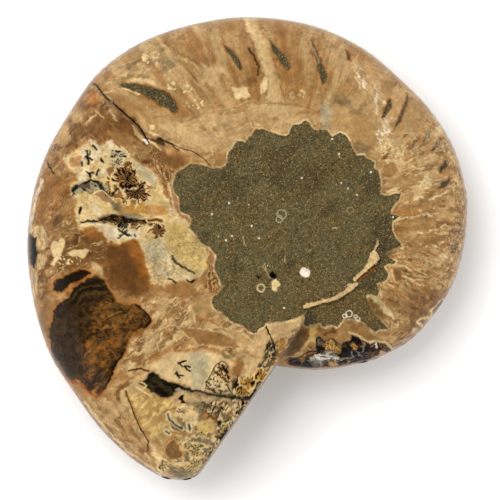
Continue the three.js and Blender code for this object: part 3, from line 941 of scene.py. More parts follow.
def paint_upper_margin(skin):
    """The smooth tan bands between the top and the sediment, with their light veins."""
    band = (
        "150,112 189,119 256,101 320,100 352,112 372,130 378,150 350,140 320,130 290,136 245,145 228,165 "
        "200,168 165,150")
    skin.mottle("pale", band, 30, 9, 71, turn=-12, above=0.2, hard=0.3, strength=0.6)
    skin.mottle("tawny", band, 26, 8, 72, turn=-12, above=0.4, hard=0.3, strength=0.3)
    skin.veins("cream", band, 34, 8, 73, turn=-15, width=0.05)
    skin.strokes("tawny", ["189,121 205,114 228,110 252,102", "168,120 186,122 203,117",
        "255,104 290,104 320,112"], 1.6, "torn", 0.8)
    skin.stroke("pale", "205,113 226,109 250,101", 2, "sharp", 0.7)
    skin.patch("pale", "158,120 180,126 196,130 206,138 200,146 184,143 166,132", "soft", 0.8)
    skin.patch("orange", "166,145 186,152 204,160 206,166 190,163 174,158", "soft", 0.45)
    skin.patch("sand", "352,104 370,118 378,145 372,152 352,152 346,138 352,128", "soft")
    skin.patch("olive_grey", "328,98 346,96 360,112 352,118 330,104", "faded", 0.5)
    skin.patch("light_tan", "334,104 350,108 352,128 340,132 330,124", "soft")
    skin.patch("olive_grey", "345,140 372,148 366,156 356,156", "soft", 0.6)
    skin.patch("blue_grey", "321,104 330,102 332,114 328,130 322,128", "torn", 0.65)


def paint_right(skin):
    """The right of the last whorl: fibrous bands along the spokes, cream wavy lines and finger lobes."""
    side = (
        "376,150 400,132 440,122 470,180 472,230 455,300 420,335 385,320 380,296 390,262 402,246 396,222 "
        "402,194 382,190")
    inner = "396,196 440,200 442,292 400,300 386,280 398,250 394,224"
    skin.mottle("orange", side, 30, 7, 81, above=0.2, hard=0.4, strength=0.22)
    skin.mottle("light_tan", side, 20, 5, 82, hard=0.25, strength=0.6)
    skin.mottle("toffee", side, 16, 4, 83, above=0.45, hard=0.25)
    skin.mottle("umber", side, 10, 2.4, 80, above=0.7, strength=0.4)
    skin.mottle("cream", side, 7, 2.4, 79, above=0.55, strength=0.6)
    skin.veins("cream", side, 18, 3.6, 85, strength=0.45)
    skin.veins("pale", inner, 12, 3, 78, width=0.12)
    smooth = [
        "402,203 432,200 444,198 440,208 410,212 399,212",
        "400,222 420,216 436,218 432,228 414,232 404,240 398,232",
        "404,246 420,236 440,234 446,244 420,250 406,250", "396,176 424,176 428,186 404,188 388,186",
    ]
    for tone, lobe in zip(("tawny", "honey", "tawny", "sand"), smooth):
        skin.patch(tone, lobe, "soft", 0.7)
    bright = [
        "382,193 392,191 402,188.5 418,187 426,184", "397,207 396,202 404,203.5 412,200 424,198",
        "398,220 406,218 414,217 420,214 428,213 432,217", "418,231 424,234 431,231 438,230 446,224",
        "431,245 437,246", "437,247 443,242 449,240", "440,248 449,246", "418,243 427,246",
        "417,255 424,256", "438,256 447,257", "451,259 460,260", "430,200 446,193 450,190",
    ]
    for path in bright:
        skin.stroke("cream", path, 2.0, "sharp", 0.95, broken=True)
    lobes = [
        "392,224 394,231 397,238 403,244 408,248 398,249.5 390,250 386.5,253 389,257 394,260 397,262",
        "384,266.5 389,264.5 397,265.5 405,268 412,272", "390,268 392,274 394,280 397,284",
        "385,285 380,285 378,288 381,292 382,297 386,303", "393,213 410,213 421,211",
        "399,199.5 396,204 392,210 399,213", "399,217 394,220 393,226", "400,276 414,280 426,279",
        "404,262 414,266 426,268",
    ]
    for path in lobes:
        skin.stroke("orange", path, 4, "torn", 0.35)
        skin.stroke("cream", path, 1.9, "sharp", 0.85, broken=True)
    skin.patch("toffee", "392,268 400,270 402,280 396,282", "torn", 0.7)
    skin.specks("olive_grey", (458, 240), 8, 60, 1.4, 91, squash=2.6, strength=0.8)
    skin.specks("pale", (458, 244), 7, 40, 1.2, 90, squash=2.6, strength=0.8)


def paint_right_wedges(skin):
    """The cream flecks and the slate wedges near the right rim."""
    skin.mottle("pale", "378,142 404,134 408,166 384,172", 5, 3, 86, turn=60, above=0.0, hard=0.2,
        strength=0.75)
    skin.specks("cream", (392, 152), 13, 50, 1.3, 87)
    skin.specks("white", (384, 134), 7, 12, 1.4, 89)
    skin.patch("tawny", "384,165 394,163 399,170 392,179 384,176", "torn", 0.8)
    skin.specks("cream", (426, 183), 7, 30, 1.6, 71)
    skin.patch("pale", "412,188 424,186 425,196 414,197", "torn", 0.9)
    skin.patch("cream", "434,128 440,128 441,136 436,136", "torn", 0.8)
    for wedge in RIGHT_WEDGES:
        skin.stroke("apricot", wedge, 5, "torn", 0.35, closed=True)
        skin.patch("slate", wedge, "sharp")
    skin.strokes("blue_grey", ["426,139 430,131", "447,163 449,160", "413,149 418,143", "436,149 439,140"],
        1.6, "sharp", 0.8)


def paint_right_foot(skin):
    """The brown shell at the lower right, with its cream lobe."""
    lower = "384,290 404,288 440,288 450,290 436,316 412,340 396,334 404,326 392,314"
    skin.patch("tawny", lower, "soft", 0.6)
    skin.mottle("toffee", lower, 16, 6, 96, turn=30, hard=0.4)
    skin.mottle("umber", lower, 9, 4, 97, turn=30, above=0.5, hard=0.2, strength=0.45)
    skin.veins("pale", lower, 24, 8, 98, turn=30, width=0.05)
    cream_lobe = (
        "366,295.5 372,295.5 380,299 383,303 388,308 393,314 396,319 390,316 384,313.5 380,308 376,303 "
        "371,299")
    skin.patch("cream", cream_lobe, "sharp")
    skin.patch("toffee", "430,294 446,292 440,300 432,310", "soft", 0.7)
    skin.stroke("cream", "446,298 441,300 436,306 431,311 433,314 430,318", 1.8)
    skin.patch("black", "441,300 447,299 441,308 435,314 433,311 437,306", "cut")
    skin.stroke("cream", "431,318 421,319 417,322 421,326", 2.2)
    skin.patch("pale", "412,328 418,329 416,333 411,333", "sharp")


def paint_mudstone(skin):
    """The dark sediment over the older whorls, with its rusty edge."""
    skin.stroke("apricot", MUDSTONE, 4, "torn", 0.35, closed=True)
    skin.stroke("cream", MUDSTONE, 3.0, "sharp", 0.55, closed=True)
    skin.stroke("cream", MUDSTONE, 3.4, "sharp", 0.9, closed=True, broken=True)
    rusty = [
        "213,302 217,311 226,316 236,323 250,331 257,332", "266,323 280,321.5 295,318 306,313",
        "401,193 399,201 391,209", "391,213 400,215", "392,222 392,232 400,243", "401,247 387,252",
        "386,255 395,261", "384,267 387,275 380,283", "378,286 379,293 367,294",
        "366,298 371,308 380,319 388,329", "351,143 356,154", "176,176 173,188 180,205",
        "247,141 256,130 265,130",
    ]
    skin.strokes("rust", rusty, 1.8, "sharp", 0.7, broken=True)
    skin.sediment(MUDSTONE, soft=0.6, ragged=0.5)
    skin.mottle("mud_brown", MUDSTONE, 22, 12, 101, turn=-30, above=0.35, hard=0.3, over=False)
    skin.mottle("mud_dark", MUDSTONE, 26, 14, 102, turn=-20, above=0.4, hard=0.3, over=False)
    skin.patch("mud_brown", "300,298 345,298 382,300 386,328 350,322 318,330 304,326", "cloudy", 0.7,
        over=False)
    skin.patch("mud_dark", "304,308 316,308 316,326 306,328", "soft", 0.9, over=False)
    skin.patch("mud_dark", "370,214 392,214 394,246 386,262 374,292 360,292 372,258", "faded", 0.6,
        over=False)
    skin.specks("gold", (280, 220), 90, 60, 0.9, 103, squash=0.8, strength=0.5)
    skin.specks("white", (270, 236), 60, 26, 0.7, 104, squash=0.8, strength=0.6)


def paint_shell_bits(skin):
    """The light grains, the rings and the shell remains in the sediment, with painted shadows by the bars.
    """
    dots = (
        "302,178 357,195 341,183 348,188 212,214 252,226 229,203 226,240 232,236 259,238 332,139 339,154 "
        "371,172 393,217 284,308")
    for dot in points(dots):
        skin.blob("white", dot, 1.5, ragged=0.3, hard=0.3)
    skin.strokes("pale", ["243,237 246,245", "338,154 340,158", "332,228 337,228", "285,256 285,262"], 1.0,
        "cut", 0.8)
    skin.ring("blue_grey", (282, 214), 4.5, 1.2)
    skin.ring("blue_grey", (279, 219), 3.2)
    skin.ring("pale", (350, 210), 3.2, 0.8, 0.6)
    skin.ring("cream", (261, 288), 4, 1.6)
    skin.blob("black", (258, 277), 3)
    skin.patch("black", "268,273 272,271 276,274 275,279 270,278", "sharp")
    skin.patch("cream", "271,280 276,279 279,284 276,291 272,289", "sharp")
    skin.strokes("pale", ["262,267 267,272 270,278", "264,264 266,270"], 0.9, "cut", 0.8)
    skin.blob("white", (305, 272), 5.6, ragged=0.8, hard=0.7)
    skin.stroke("rust", "359,281 367,274 376,267", 1.4, "cut")
    for bar in SHELL_BARS:
        # Painted shadow: a soot outline moved down and to the right of each bar.
        skin.stroke("soot", points(bar) + (0.8, 1.2), 1.6, "sharp", 0.6, closed=True)
        skin.patch("pale", bar, "cut")
        skin.mottle("cream", bar, 3, 1.2, 107, turn=60, above=0.0, hard=0.3, soft=0.8, strength=0.8)
    for centre, radius in [((349, 314), 3.4), ((345, 316), 2), ((358, 319), 2.2), ((356, 316), 1.6)]:
        skin.ring("white", centre, radius)


def paint_left_patch(skin):
    """The left of the last whorl: the septa's cream patch, and the banded wall at its right."""
    patch = (
        "63,158 70,152 80,149 84,146 92,140 100,146 110,142 120,148 128,156 135,160 143,164 152,170 "
        "158,180 162,188 166,196 170,205 178,213 186,222 190,230 198,240 206,248 208,258 205,268 198,278 "
        "190,282 172,283 160,284 152,282 148,272 145,258 142,246 138,240 128,240 118,243 108,240 104,232 "
        "98,226 88,226 78,230 76,220 77,205 78,196 70,194 72,184 80,182 76,174 70,168 66,163")
    wall = (
        "150,148 172,160 178,180 182,206 192,222 196,236 216,256 222,290 204,292 206,262 196,242 180,226 "
        "168,200 158,178")
    skin.patch("caramel", wall, "soft", 0.7)
    skin.agate(wall, 110, size=9, turn=66, rings=5, dark="umber", strength=0.65, soft=3)
    skin.stroke("rose_tan", "172,188 176,206 186,218 190,230 200,242 213,252 214,262", 6, "soft", 0.8)
    skin.stroke("cream", "168,184 172,200 176,212 184,222 188,232 200,246 209,253 206,266 198,280", 1.6,
        "sharp", 0.8)
    skin.stroke("orange", patch, 6, "soft", 0.55, closed=True)
    skin.patch("cream", patch, "torn", 0.95)
    skin.mottle("butter", patch, 14, 8, 115, turn=30, above=0.0, hard=0.4, strength=0.7)
    skin.mottle("white", patch, 10, 7, 114, turn=30, above=0.45)
    skin.agate(patch, 119, size=7, stretch=1.4, turn=30, light="cream", line="white", soft=3)
    skin.patch("orange", "70,158 80,156 80,168 72,166", "torn", 0.7)
    skin.patch("blue_grey", "134,160 142,163 152,172 158,184 152,186 142,176 136,170", "torn", 0.6)
    skin.patch("butter", "150,190 164,196 170,208 162,214 148,204", "torn", 0.8)
    skin.patch("gold", "120,203 132,202 146,203 148,213 134,215 120,212", "torn", 0.85)
    skin.patch("apricot", "146,206 164,206 170,212 158,217 146,214", "torn", 0.7)
    skin.patch("butter", "166,216 186,228 204,246 206,266 192,274 176,262 164,244", "faded")
    low = "142,244 166,236 188,232 206,252 200,276 176,284 152,282"
    skin.patch("blue_grey", "144,244 160,241 170,246 166,256 154,262 146,256", "soft", 0.7)
    skin.agate(low, 161, size=6, stretch=1.3, turn=50, light="cream", dark="olive_grey", line="white",
        soft=3)
    skin.veins("olive_grey", low, 9, 4, 162, turn=50, width=0.1)
    skin.patch("olive_grey", "150,256 166,256 170,272 166,281 154,280", "soft", 0.3)


def paint_flower(skin):
    """The black mossy flower in the cream patch, and the small black marks above it."""
    skin.strokes("black", ["93,145 95,149 96,150", "86,152 87,158 88,164", "85,157 88,158 92,160",
        "89,155 90,152", "81.5,163 82,166", "87,172.5 90,174 91,179", "90,174 93,173", "99,170 97,174.5",
        "101,160 103.5,162"], 2.4)
    skin.plume((119, 156), 8, 121, 9, heart="soot", petal="blue_grey", fill=0.5)

    flower = (
        "106,168 116,164 128,163 135,163 134,172 140,176 146,184 152,187 146,193 146,200 140,204 128,203 "
        "118,200 108,196 106,186 108,178")
    skin.patch("caramel", flower, "torn", 0.9)
    skin.plume((119, 164), 8, 122, 9, petal="blue_grey")
    skin.plume((112, 187), 11, 123, 9, start=90, sweep=190, petal="gold")
    skin.plume((127, 179), 15, 124, 15, heart="soot", fill=0.75)
    skin.plume((137, 191), 14, 125, 15, start=-80, sweep=270, heart="soot", petal="toffee", fill=0.75)
    skin.plume((124, 197), 9, 126, 6, start=30, sweep=140, heart="soot", petal="gold", fill=0.2)
    skin.plume((128, 167), 7, 127, 6, start=190, sweep=190, fill=0.4)
    skin.strokes("cream", ["112,197 118,199 122,201", "128,205 128,200", "137,207 137,201"], 1.6, "sharp",
        0.9)
    skin.strokes("black", ["118,189 113,193 109,198", "102,186 103,190 107,194 112,199",
        "124,186 129,188 134,185"], 2.2)
    for place in points("127,179 137,190 120,172 131,186 113,180"):
        skin.blob("black", place, 2.2, ragged=1.2, hard=0.4)


def paint_left_growths(skin):
    """The dark arc and the fringed band below the flower."""
    arc = (
        "71,195 72,189 77,185 85,182.5 94,181.5 104,184 107,190 112,197 108,198 103,193 97,190 90,192 "
        "80,191 75,194")
    skin.patch("slate", arc, "torn", 0.9)
    skin.mottle("soot", arc, 6, 3, 151, turn=0, above=0.0, hard=0.2, soft=1, strength=0.95)
    skin.mottle("blue_grey", arc, 5, 3, 152, turn=20, above=0.45, soft=1, strength=0.8)
    skin.ring("blue_grey", (95.5, 186.5), 2.4, 1.2)
    skin.patch("blue_grey", "103,184 107,185 108,190 105,191", "sharp", 0.8)
    skin.strokes("black", ["84,183 92,181.5 98,182.5", "101,184 101,189", "72,191 76,188"], 2.2)
    skin.patch("rose_tan", "93,194 98,191 103,191 108,196 113,200 119,203 112,204 104,200 98,197", "sharp")
    skin.stroke("cream", "93,194 98,190.5 103,190.5 108,195 114,200", 1.0, "cut")
    skin.stroke("soot", "81,207.5 80,213", 2.8, "cut")
    skin.patch("slate", "113,203 122,204 121,212 115,210", "torn", 0.8)

    band = (
        "98,219 106,216.5 112,214 118,215 128,217 138,219 147,220 150,225 144,226 137,229 130,228 123,230 "
        "114,226 106,224 100,224")
    skin.patch("slate", "96,218 108,213 118,212 134,214 144,218 120,220", "torn", 0.6)
    skin.stroke("soot", "81,222 84,220.5 90,221 96,222 101,221", 2.4)
    skin.patch("soot", band, "sharp")
    for number, place in enumerate(points("104,220 112,220 127,222 142,221")):
        skin.plume(place, 6, 163 + number, 4, start=30, sweep=130, petal="toffee", fill=0.2)
    skin.veins("toffee", band, 5, 2.4, 168, turn=60, width=0.2, soft=1, strength=0.8)
    skin.fingers(["149,221 156,220 162,221", "150,225 157,225 163,226"])
    skin.patch("white", "104,226 116,228 128,231 140,229 141,238 128,239 112,238 106,233", "torn", 0.5)
    skin.plume((122, 221), 11, 156, 6, start=20, sweep=140, petal="slate", fill=0.4)
    skin.plume((135, 222), 8, 157, 5, start=20, sweep=140, petal="toffee")
    skin.strokes("ink_blue", ["118,229 123,233 130,236", "118,237 122,234 127,231", "134,234 136,236",
        "124,233 127,236"], 2.2, "sharp", 0.95)
    skin.plume((157, 231), 9, 158, 11, squash=0.85, heart="soot", fill=0.35)
    skin.stroke("ink_blue", "172,256 176,262 180,266 186,269 194,273", 2.6, "sharp", 0.9)
    skin.strokes("black", ["168,279 172,280 176,283", "187,280 190,282 193,281"], 2.2)
    skin.patch("tawny", "164,290 175,284 184,280 192,285 200,293 190,297 170,297", "torn", 0.9)


def paint_left_side(skin):
    """The brown shell above the left patch."""
    skin.patch("toffee",
        "72,126 84,116 104,112 118,120 130,120 142,136 150,152 138,152 118,142 100,140 84,138 72,146",
        "soft", 0.75)
    brown = "52,160 60,130 90,88 112,104 152,148 172,174 150,170 110,142 70,158"
    skin.mottle("umber", brown, 24, 10, 153, turn=40, above=0.2, hard=0.4, strength=0.45)
    skin.mottle("sand", brown, 26, 8, 154, turn=40, above=0.4, hard=0.3, strength=0.6)
    skin.veins("pale", brown, 30, 9, 155, turn=38, width=0.05, strength=0.55)
    skin.patch("caramel", "76,108 96,96 118,118 140,142 120,142 92,130", "faded", 0.4)
    skin.patch("apricot", "90,92 102,97 100,106 86,106", "soft", 0.6)
    skin.patch("pale", "70,112 82,108 84,118 74,124", "soft", 0.6)
    skin.strokes("cream", ["60,122 66,116 72,112", "54,144 62,138 68,128", "84,128 90,120 96,116",
        "66,144 70,136", "96,112 104,118"], 1.4, "sharp", 0.8, broken=True)
    skin.patch("light_tan", "56,130 68,122 70,140 62,146 54,142", "torn", 0.7)


def paint_left_bands(skin):
    """The striped and streaked bands at the left, and the brown chamber beside them."""
    gold_brown = "38,182 50,170 70,180 66,196 48,222 36,226"
    skin.patch("caramel", gold_brown, "faded", 0.75)
    striped = "46,200 54,192 66,196 76,204 76,232 50,236 44,216"
    skin.patch("tawny", striped, "soft", 0.7)
    skin.veins("cream", striped, 16, 3.2, 151, turn=-42, width=0.14, soft=3, strength=0.65)
    skin.veins("umber", striped, 14, 3.4, 152, turn=-42, width=0.14, soft=3, strength=0.6)
    skin.patch("umber", "50,222 62,214 60,228 52,232", "soft", 0.6)
    streaked = "62,240 80,230 104,232 112,246 104,266 84,270 60,272 50,262"
    skin.patch("toffee", streaked, "soft", 0.7)
    skin.veins("cream", streaked, 26, 5, 149, turn=-28, width=0.1, soft=3, strength=0.7)
    skin.veins("umber", streaked, 24, 5, 150, turn=-28, width=0.14, soft=3, strength=0.6)
    skin.patch("orange", "78,230 100,226 106,236 88,240", "soft", 0.55)
    skin.patch("cream",
        "50,247 54,241 59,243 63,238 66,241 65,247 63,251 62,256 58,262 54,267 50,265 54,259 53,252",
        "sharp")
    skin.patch("cream", "66,254 72,250 80,249.5 89,250 87,255 82,258 78,256 72,257", "sharp", 0.9)
    skin.specks("cream", (70, 262), 12, 14, 1.3, 148, squash=0.4)
    skin.patch("pale", "90,262 99,264 104,274 96,276 90,270", "torn", 0.8)

    chamber = (
        "108,241 118,243 128,241 138,241 142,250 146,262 148,276 152,286 138,296 118,292 106,280 103,262")
    skin.patch("toffee", chamber, "faded")
    skin.mottle("umber", chamber, 22, 16, 158, turn=30, hard=0.5, strength=0.4)
    skin.patch("orange", "126,243 140,243 147,264 148,282 140,276 134,258", "faded", 0.7)


def paint_left_rim(skin):
    """The worn rim at the left, with a painted sheen along it and a painted highlight on its black patch."""
    skin.stroke("umber", "50,285 46,300 44,330", 9, "faded", 0.5)
    # Painted sheen: a whitish streak of light reflected along the rounded rim.
    skin.stroke("white", "41,181 36,196 32,214 30,232", 3.2, "torn", 0.6)
    skin.patch("black",
        "29,233 33,237 38,237 37,246 37.5,250 38.5,254 36,258 35,268 36,272 32,266 28,262 27,246", "sharp")
    # Painted highlight: grey light reflected on the glossy black patch.
    skin.stroke("slate", "31,238 30.5,246 31,254", 2.4, "torn", 0.6)
    worn = [
        "33,228 38,227 43,226 46,233 48,242 47,248 43,249.5 38,247 38.5,238 34,237.5",
        "38,255 43,254 47,258 46,264 43,269 38,271.5 36.5,266",
        "31,274 37,271 37,280 38,290 36,300 31,298 29,284",
    ]
    for place in worn:
        skin.patch("pale", place, "sharp")
        skin.mottle("olive_grey", place, 6, 3, 159, turn=80, soft=1)
    skin.stroke("bark", "44,157 49,165 54,173", 2)


def paint_waist(skin):
    """The wavy tan and cream bands between the dark chamber and the seam."""
    wavy = "118,348 145,326 152,300 200,290 222,312 262,334 262,352 215,352 165,354 128,380"
    skin.mottle("tawny", wavy, 16, 8, 160, turn=-35, above=-0.1, hard=0.4)
    skin.mottle("pale", wavy, 14, 5, 161, turn=-45, above=0.2, hard=0.2, strength=0.7)
    skin.mottle("toffee", wavy, 12, 4, 162, turn=-45, above=0.4, hard=0.2, strength=0.6)
    skin.veins("cream", wavy, 22, 6, 163, turn=-50, width=0.1, strength=0.75)
    skin.veins("toffee", wavy, 20, 6, 164, turn=-50, width=0.06, strength=0.6)
    skin.patch("sand", "196,296 212,300 216,312 204,318 192,308", "soft", 0.8)
    skin.strokes("orange", ["150,358 160,352 176,346 196,342", "198,318 212,322 226,332",
        "176,352 200,348 216,350"], 3, "torn", 0.6)


def paint_dark_body(skin):
    """The dark sediment that fills the chamber at the lower left."""
    upper = "53,289 55,283 60,279 67,275 75,271 84,269 91.5,272 86,276 78,281 70,284 66,288 60,291.5"
    main = (
        "56,306 60,302 66,300 70,293 76,286 84,281 96,276 104,281 109,290 113,297 118,303 126,305 135,303 "
        "141,308 146,314 151,320 146,326 137,330 131,336 126,345 124,352 117,362 111,371 108,380 104,389 "
        "99,397 97,391 101,383 96,386 92,392 88,391 86,387 81,381 76,379 71,381 66,377 60,374 56,366 "
        "51,352 50,334 53,318")
    for lobe in (upper, main):
        skin.stroke("orange", lobe, 7, "soft", 0.4, closed=True)
        skin.stroke("apricot", lobe, 4, "torn", 0.6, closed=True)
        skin.patch("bark", lobe, "sharp")
    skin.patch("soot", upper, "torn", 0.7)
    warm = "84,312 100,298 120,302 140,306 148,320 126,344 112,368 98,388 84,376 86,350"
    skin.mottle("umber", main, 9, 6, 172, turn=-50, above=-0.2, hard=0.5, soft=3, strength=0.7)
    skin.patch("toffee", "104,304 128,306 142,314 134,330 120,348 108,362 98,352 96,322", "cloudy", 0.7)
    skin.mottle("caramel", warm, 10, 6, 173, turn=-40, above=-0.1, hard=0.5, soft=8, strength=0.8)
    skin.mottle("orange", warm, 4, 3, 174, turn=-40, above=0.35, hard=0.4, soft=8, strength=0.6)
    skin.mottle("mud_brown", main, 5, 3, 177, turn=-30, above=-0.1, hard=0.4, soft=2, strength=0.6)
    dark_side = (
        "56,306 66,298 76,286 96,276 106,284 104,298 90,310 82,330 80,352 84,374 76,380 62,374 54,360 "
        "50,334")
    skin.patch("soot", dark_side, "cloudy", 0.35)
    skin.mottle("black", main, 6, 4, 178, turn=-40, above=0.4, hard=0.3, soft=1)
    skin.mottle("soot", main, 2.6, 2, 175, turn=20, above=0.3, hard=0.3, soft=1, strength=0.6)
    skin.strokes("soot", ["66,300 74,290 86,284 98,282", "72,304 80,293 92,288 102,289"], 4, "torn", 0.8)
    skin.strokes("mud_brown", ["69,302 77,291 89,286 100,286", "76,306 84,295 95,291 104,292"], 1.4,
        "sharp", 0.7)
    skin.strokes("apricot", ["104,320 112,314 122,312", "100,330 106,326", "84,356 90,350"], 1.2, "sharp",
        0.7)
    skin.stroke("black", "136,304 142,309 148,315 151,321 144,327", 2.0)
    skin.stroke("black", "123,354 118,361 112,371 109,381 102,393", 2.4)
    skin.strokes("rust", ["58,368 66,379 78,383", "83,384 90,393 98,397 106,388"], 2, "sharp", 0.8)


def paint_mouth(skin):
    """The last part of the whorl before the mouth, in yellow and cream."""
    patch = (
        "118,396 126,382 150,370 165,352 215,351 262,356 276,366 245,412 224,440 203,472 175,482 160,474 "
        "150,447 140,430 128,405")
    yellow = "126,392 150,392 178,404 176,426 186,446 170,462 152,446 138,424"
    pale_end = "176,400 214,402 250,404 224,442 204,472 180,480 164,470 186,446 178,424"
    skin.stroke("orange", points(patch)[:6], 7, "soft", 0.4)
    skin.patch("pale", patch)
    skin.patch("butter", yellow, "soft", 0.9)
    skin.agate(yellow, 180, size=9, stretch=1.6, light="cream", strength=0.4, soft=3)
    skin.mottle("honey", yellow, 7, 4, 181, turn=-50, hard=0.3, strength=0.7)
    skin.mottle("cream", pale_end, 9, 5, 182, turn=-50, above=0.0, hard=0.3, strength=0.7)
    skin.mottle("olive_grey", pale_end, 8, 4, 183, turn=30, hard=0.2, strength=0.8)
    skin.mottle("apricot", pale_end, 8, 5, 184, turn=0, above=0.3, strength=0.6)
    skin.veins("umber", pale_end, 9, 5, 185, turn=30, width=0.14, strength=0.7)
    skin.patch("cream", "150,364 176,352 214,352 224,364 214,388 190,390 172,384 158,374", "soft", 0.6)
    skin.patch("blue_grey", "188,352 204,350 208,362 206,384 196,388 190,372", "soft", 0.75)
    skin.strokes("black", ["178,363 181,362 186,361", "182,366 180,364", "184,366 187,370 191,371",
        "186,366 190,367", "177,372 178,376 180,378", "178,375 183,376", "176,374 178,374"], 1.8, "cut")


def paint_mouth_growths(skin):
    """The dark streak, the fern and the dark fingers in the cream before the mouth."""
    dark = (
        "139,386 146,379 148,374 153,371 158,374 166,380 172,382 180,386 190,389.5 182,391 176,391 "
        "172,394 168,398 160,397 154,393 148,390 143,388")
    skin.stroke("caramel", dark, 3, "torn", 0.6, closed=True)
    skin.patch("soot", dark, "sharp")
    skin.mottle("mud_dark", dark, 6, 4, 187, turn=20, above=0.2, soft=1, strength=0.8)
    skin.strokes("cream", ["141,383 146,386 144,389", "137,388 143,392 150,396"], 1.4, "cut")
    skin.stroke("blue_grey", "176,390 182,391.5 188,392", 2.4)
    skin.stroke("bark", "128,371 134,370 140,369 147,370.5 149,371", 1.5, "cut")
    skin.patch("black", "179.5,396 184,395 183,399 185,403 180,403 181,400 178,399", "cut")

    fern = (
        "222,361 227,364 230,370 231,378 228,386 232,394 222,396 212,390 206,388 207,381 212,372 216,365")
    skin.patch("cream", fern, "sharp", 0.9)
    skin.stroke("bark", fern, 1.3, "cut", 0.85, closed=True)
    skin.fingers(["217,372 223,378 229,382", "223,366 227,371 229,378", "219,367 222,370 224,369"],
        width=1.8, heart="black", petal="apricot")

    skin.veins("black", fern, 4.5, 2.4, 201, turn=60, width=0.55, soft=1, strength=0.95)
    skin.veins("cream", fern, 5, 3, 202, turn=20, width=0.12, soft=1, strength=0.8)
    skin.mottle("mud", "220,344 238,346 236,360 224,360", 6, 4, 190, turn=30, above=0.3, soft=2,
        strength=0.7)
    skin.patch("caramel", "234,362 244,358 244,372 236,380 232,372", "soft", 0.85)
    skin.patch("bark", "234,382 242,376 250,388 250,398 236,398 232,390", "torn", 0.95)
    skin.patch("pale", "244,346 266,330 270,344 268,362 256,360", "torn", 0.8)

    skin.veins("black", "232,376 262,372 256,398 234,398", 6, 3.4, 203, turn=40, width=0.5, soft=2,
        strength=0.8)
    skin.patch("soot", "216,419 222,421 228,419 229,424 222,426 217,425", "sharp")
    skin.patch("cream", "174,406 192,404 200,414 198,426 184,420 174,416", "torn", 0.6)
    skin.fingers(["168,414 170,420 176,425 182,428.5", "189,425 190,430", "172,427 178,430",
        "166,431 169,433"], width=1.5, heart="ink_blue", petal="blue_grey")
    skin.strokes("caramel", ["172,425 180,431 190,434 196,432", "170,430 180,433 189,436",
        "164,412 170,410 176,407"], 1.8, "sharp", 0.8)
    skin.patch("butter", "198,422 208,420 216,424 214,430 204,433 198,428")
    skin.patch("olive_grey", "190,437 206,438 214,444 214,452 208,446 196,442", "torn", 0.8)


def paint_mouth_clusters(skin):
    """The mossy clusters before the mouth, and the dark edge beside them."""
    lip = "268,342 276,340 279,348 274,360 266,374 257,389 249,403 243,398 250,384 258,370 263,356"
    skin.patch("slate", lip, "torn", 0.9)
    skin.mottle("soot", lip, 5, 3, 227, turn=-55, above=0.0, hard=0.2, soft=1.5, strength=0.85)
    skin.mottle("pale", lip, 4, 2.4, 228, turn=-55, above=0.3, soft=1.5, strength=0.85)
    skin.stroke("slate", "186,390 212,395 232,399 250,401", 8, "soft", 0.6)
    skin.patch("ink_blue", "226,395 240,395 257,393 252,403 246,408 232,403", "torn", 0.9)
    clusters = [
        ((202, 431), 9, 7, 10, 160, "butter", 0.1), ((221, 437), 9, 9, 0, 360, "butter", 0.2),
        ((188, 448), 6, 6, 60, 240, "butter", 0.1), ((197, 451), 9, 8, 0, 360, "butter", 0.2),
        ((207, 452), 6, 6, 0, 360, "pale", 0.1), ((194, 467), 9, 9, 0, 360, "butter", 0.1),
        ((240, 408), 8, 7, 0, 360, "pale", 0.1), ((249, 382), 9, 7, 0, 360, "gold", 0.0),
        ((243, 391), 7, 6, 0, 360, "gold", 0.4), ((262, 375), 7, 6, 0, 360, "gold", 0.4),
        ((226, 428), 7, 7, 0, 360, "butter", 0.2), ((216, 408), 8, 8, 0, 360, "pale", 0.0),
        ((232, 424), 6, 6, 0, 360, "blue_grey", 0.3), ((182, 412), 7, 7, 180, 200, "pale", -0.2),
    ]
    for number, (centre, radius, fingers, start, sweep, petal, fill) in enumerate(clusters):
        skin.plume(centre, radius, 220 + number, fingers, start=start, sweep=sweep, petal=petal, fill=fill)
    skin.stroke("soot", "184,390 200,390.5 212,394 228,398.5 253,401", 2.4, "sharp", 0.95)
    edge = "262,384 270,372 276,366 250,404 226,438 205,470 198,476 204,462 224,430 238,410"
    skin.mottle("soot", edge, 6, 3, 207, turn=-50, above=-0.1, hard=0.2, soft=1.5, strength=0.9)
    skin.mottle("cream", edge, 4, 2.4, 208, turn=40, above=0.4, soft=1.5, strength=0.8)
    skin.veins("soot", "200,398 226,402 232,418 214,420 202,410", 7, 3.4, 209, turn=-40, width=0.36, soft=2,
        strength=0.75)
    skin.veins("soot", "190,438 214,436 222,446 206,466 186,462", 7, 4, 211, turn=-20, width=0.16, soft=2,
        strength=0.7)
    skin.veins("soot", "212,426 232,424 236,434 218,448", 6, 3.6, 212, turn=60, width=0.36, soft=1.5,
        strength=0.8)
    skin.specks("soot", (214, 410), 12, 26, 1.2, 191, squash=0.8, strength=0.85)
    skin.specks("umber", (205, 430), 30, 50, 1.1, 193, squash=1.2, strength=0.7)


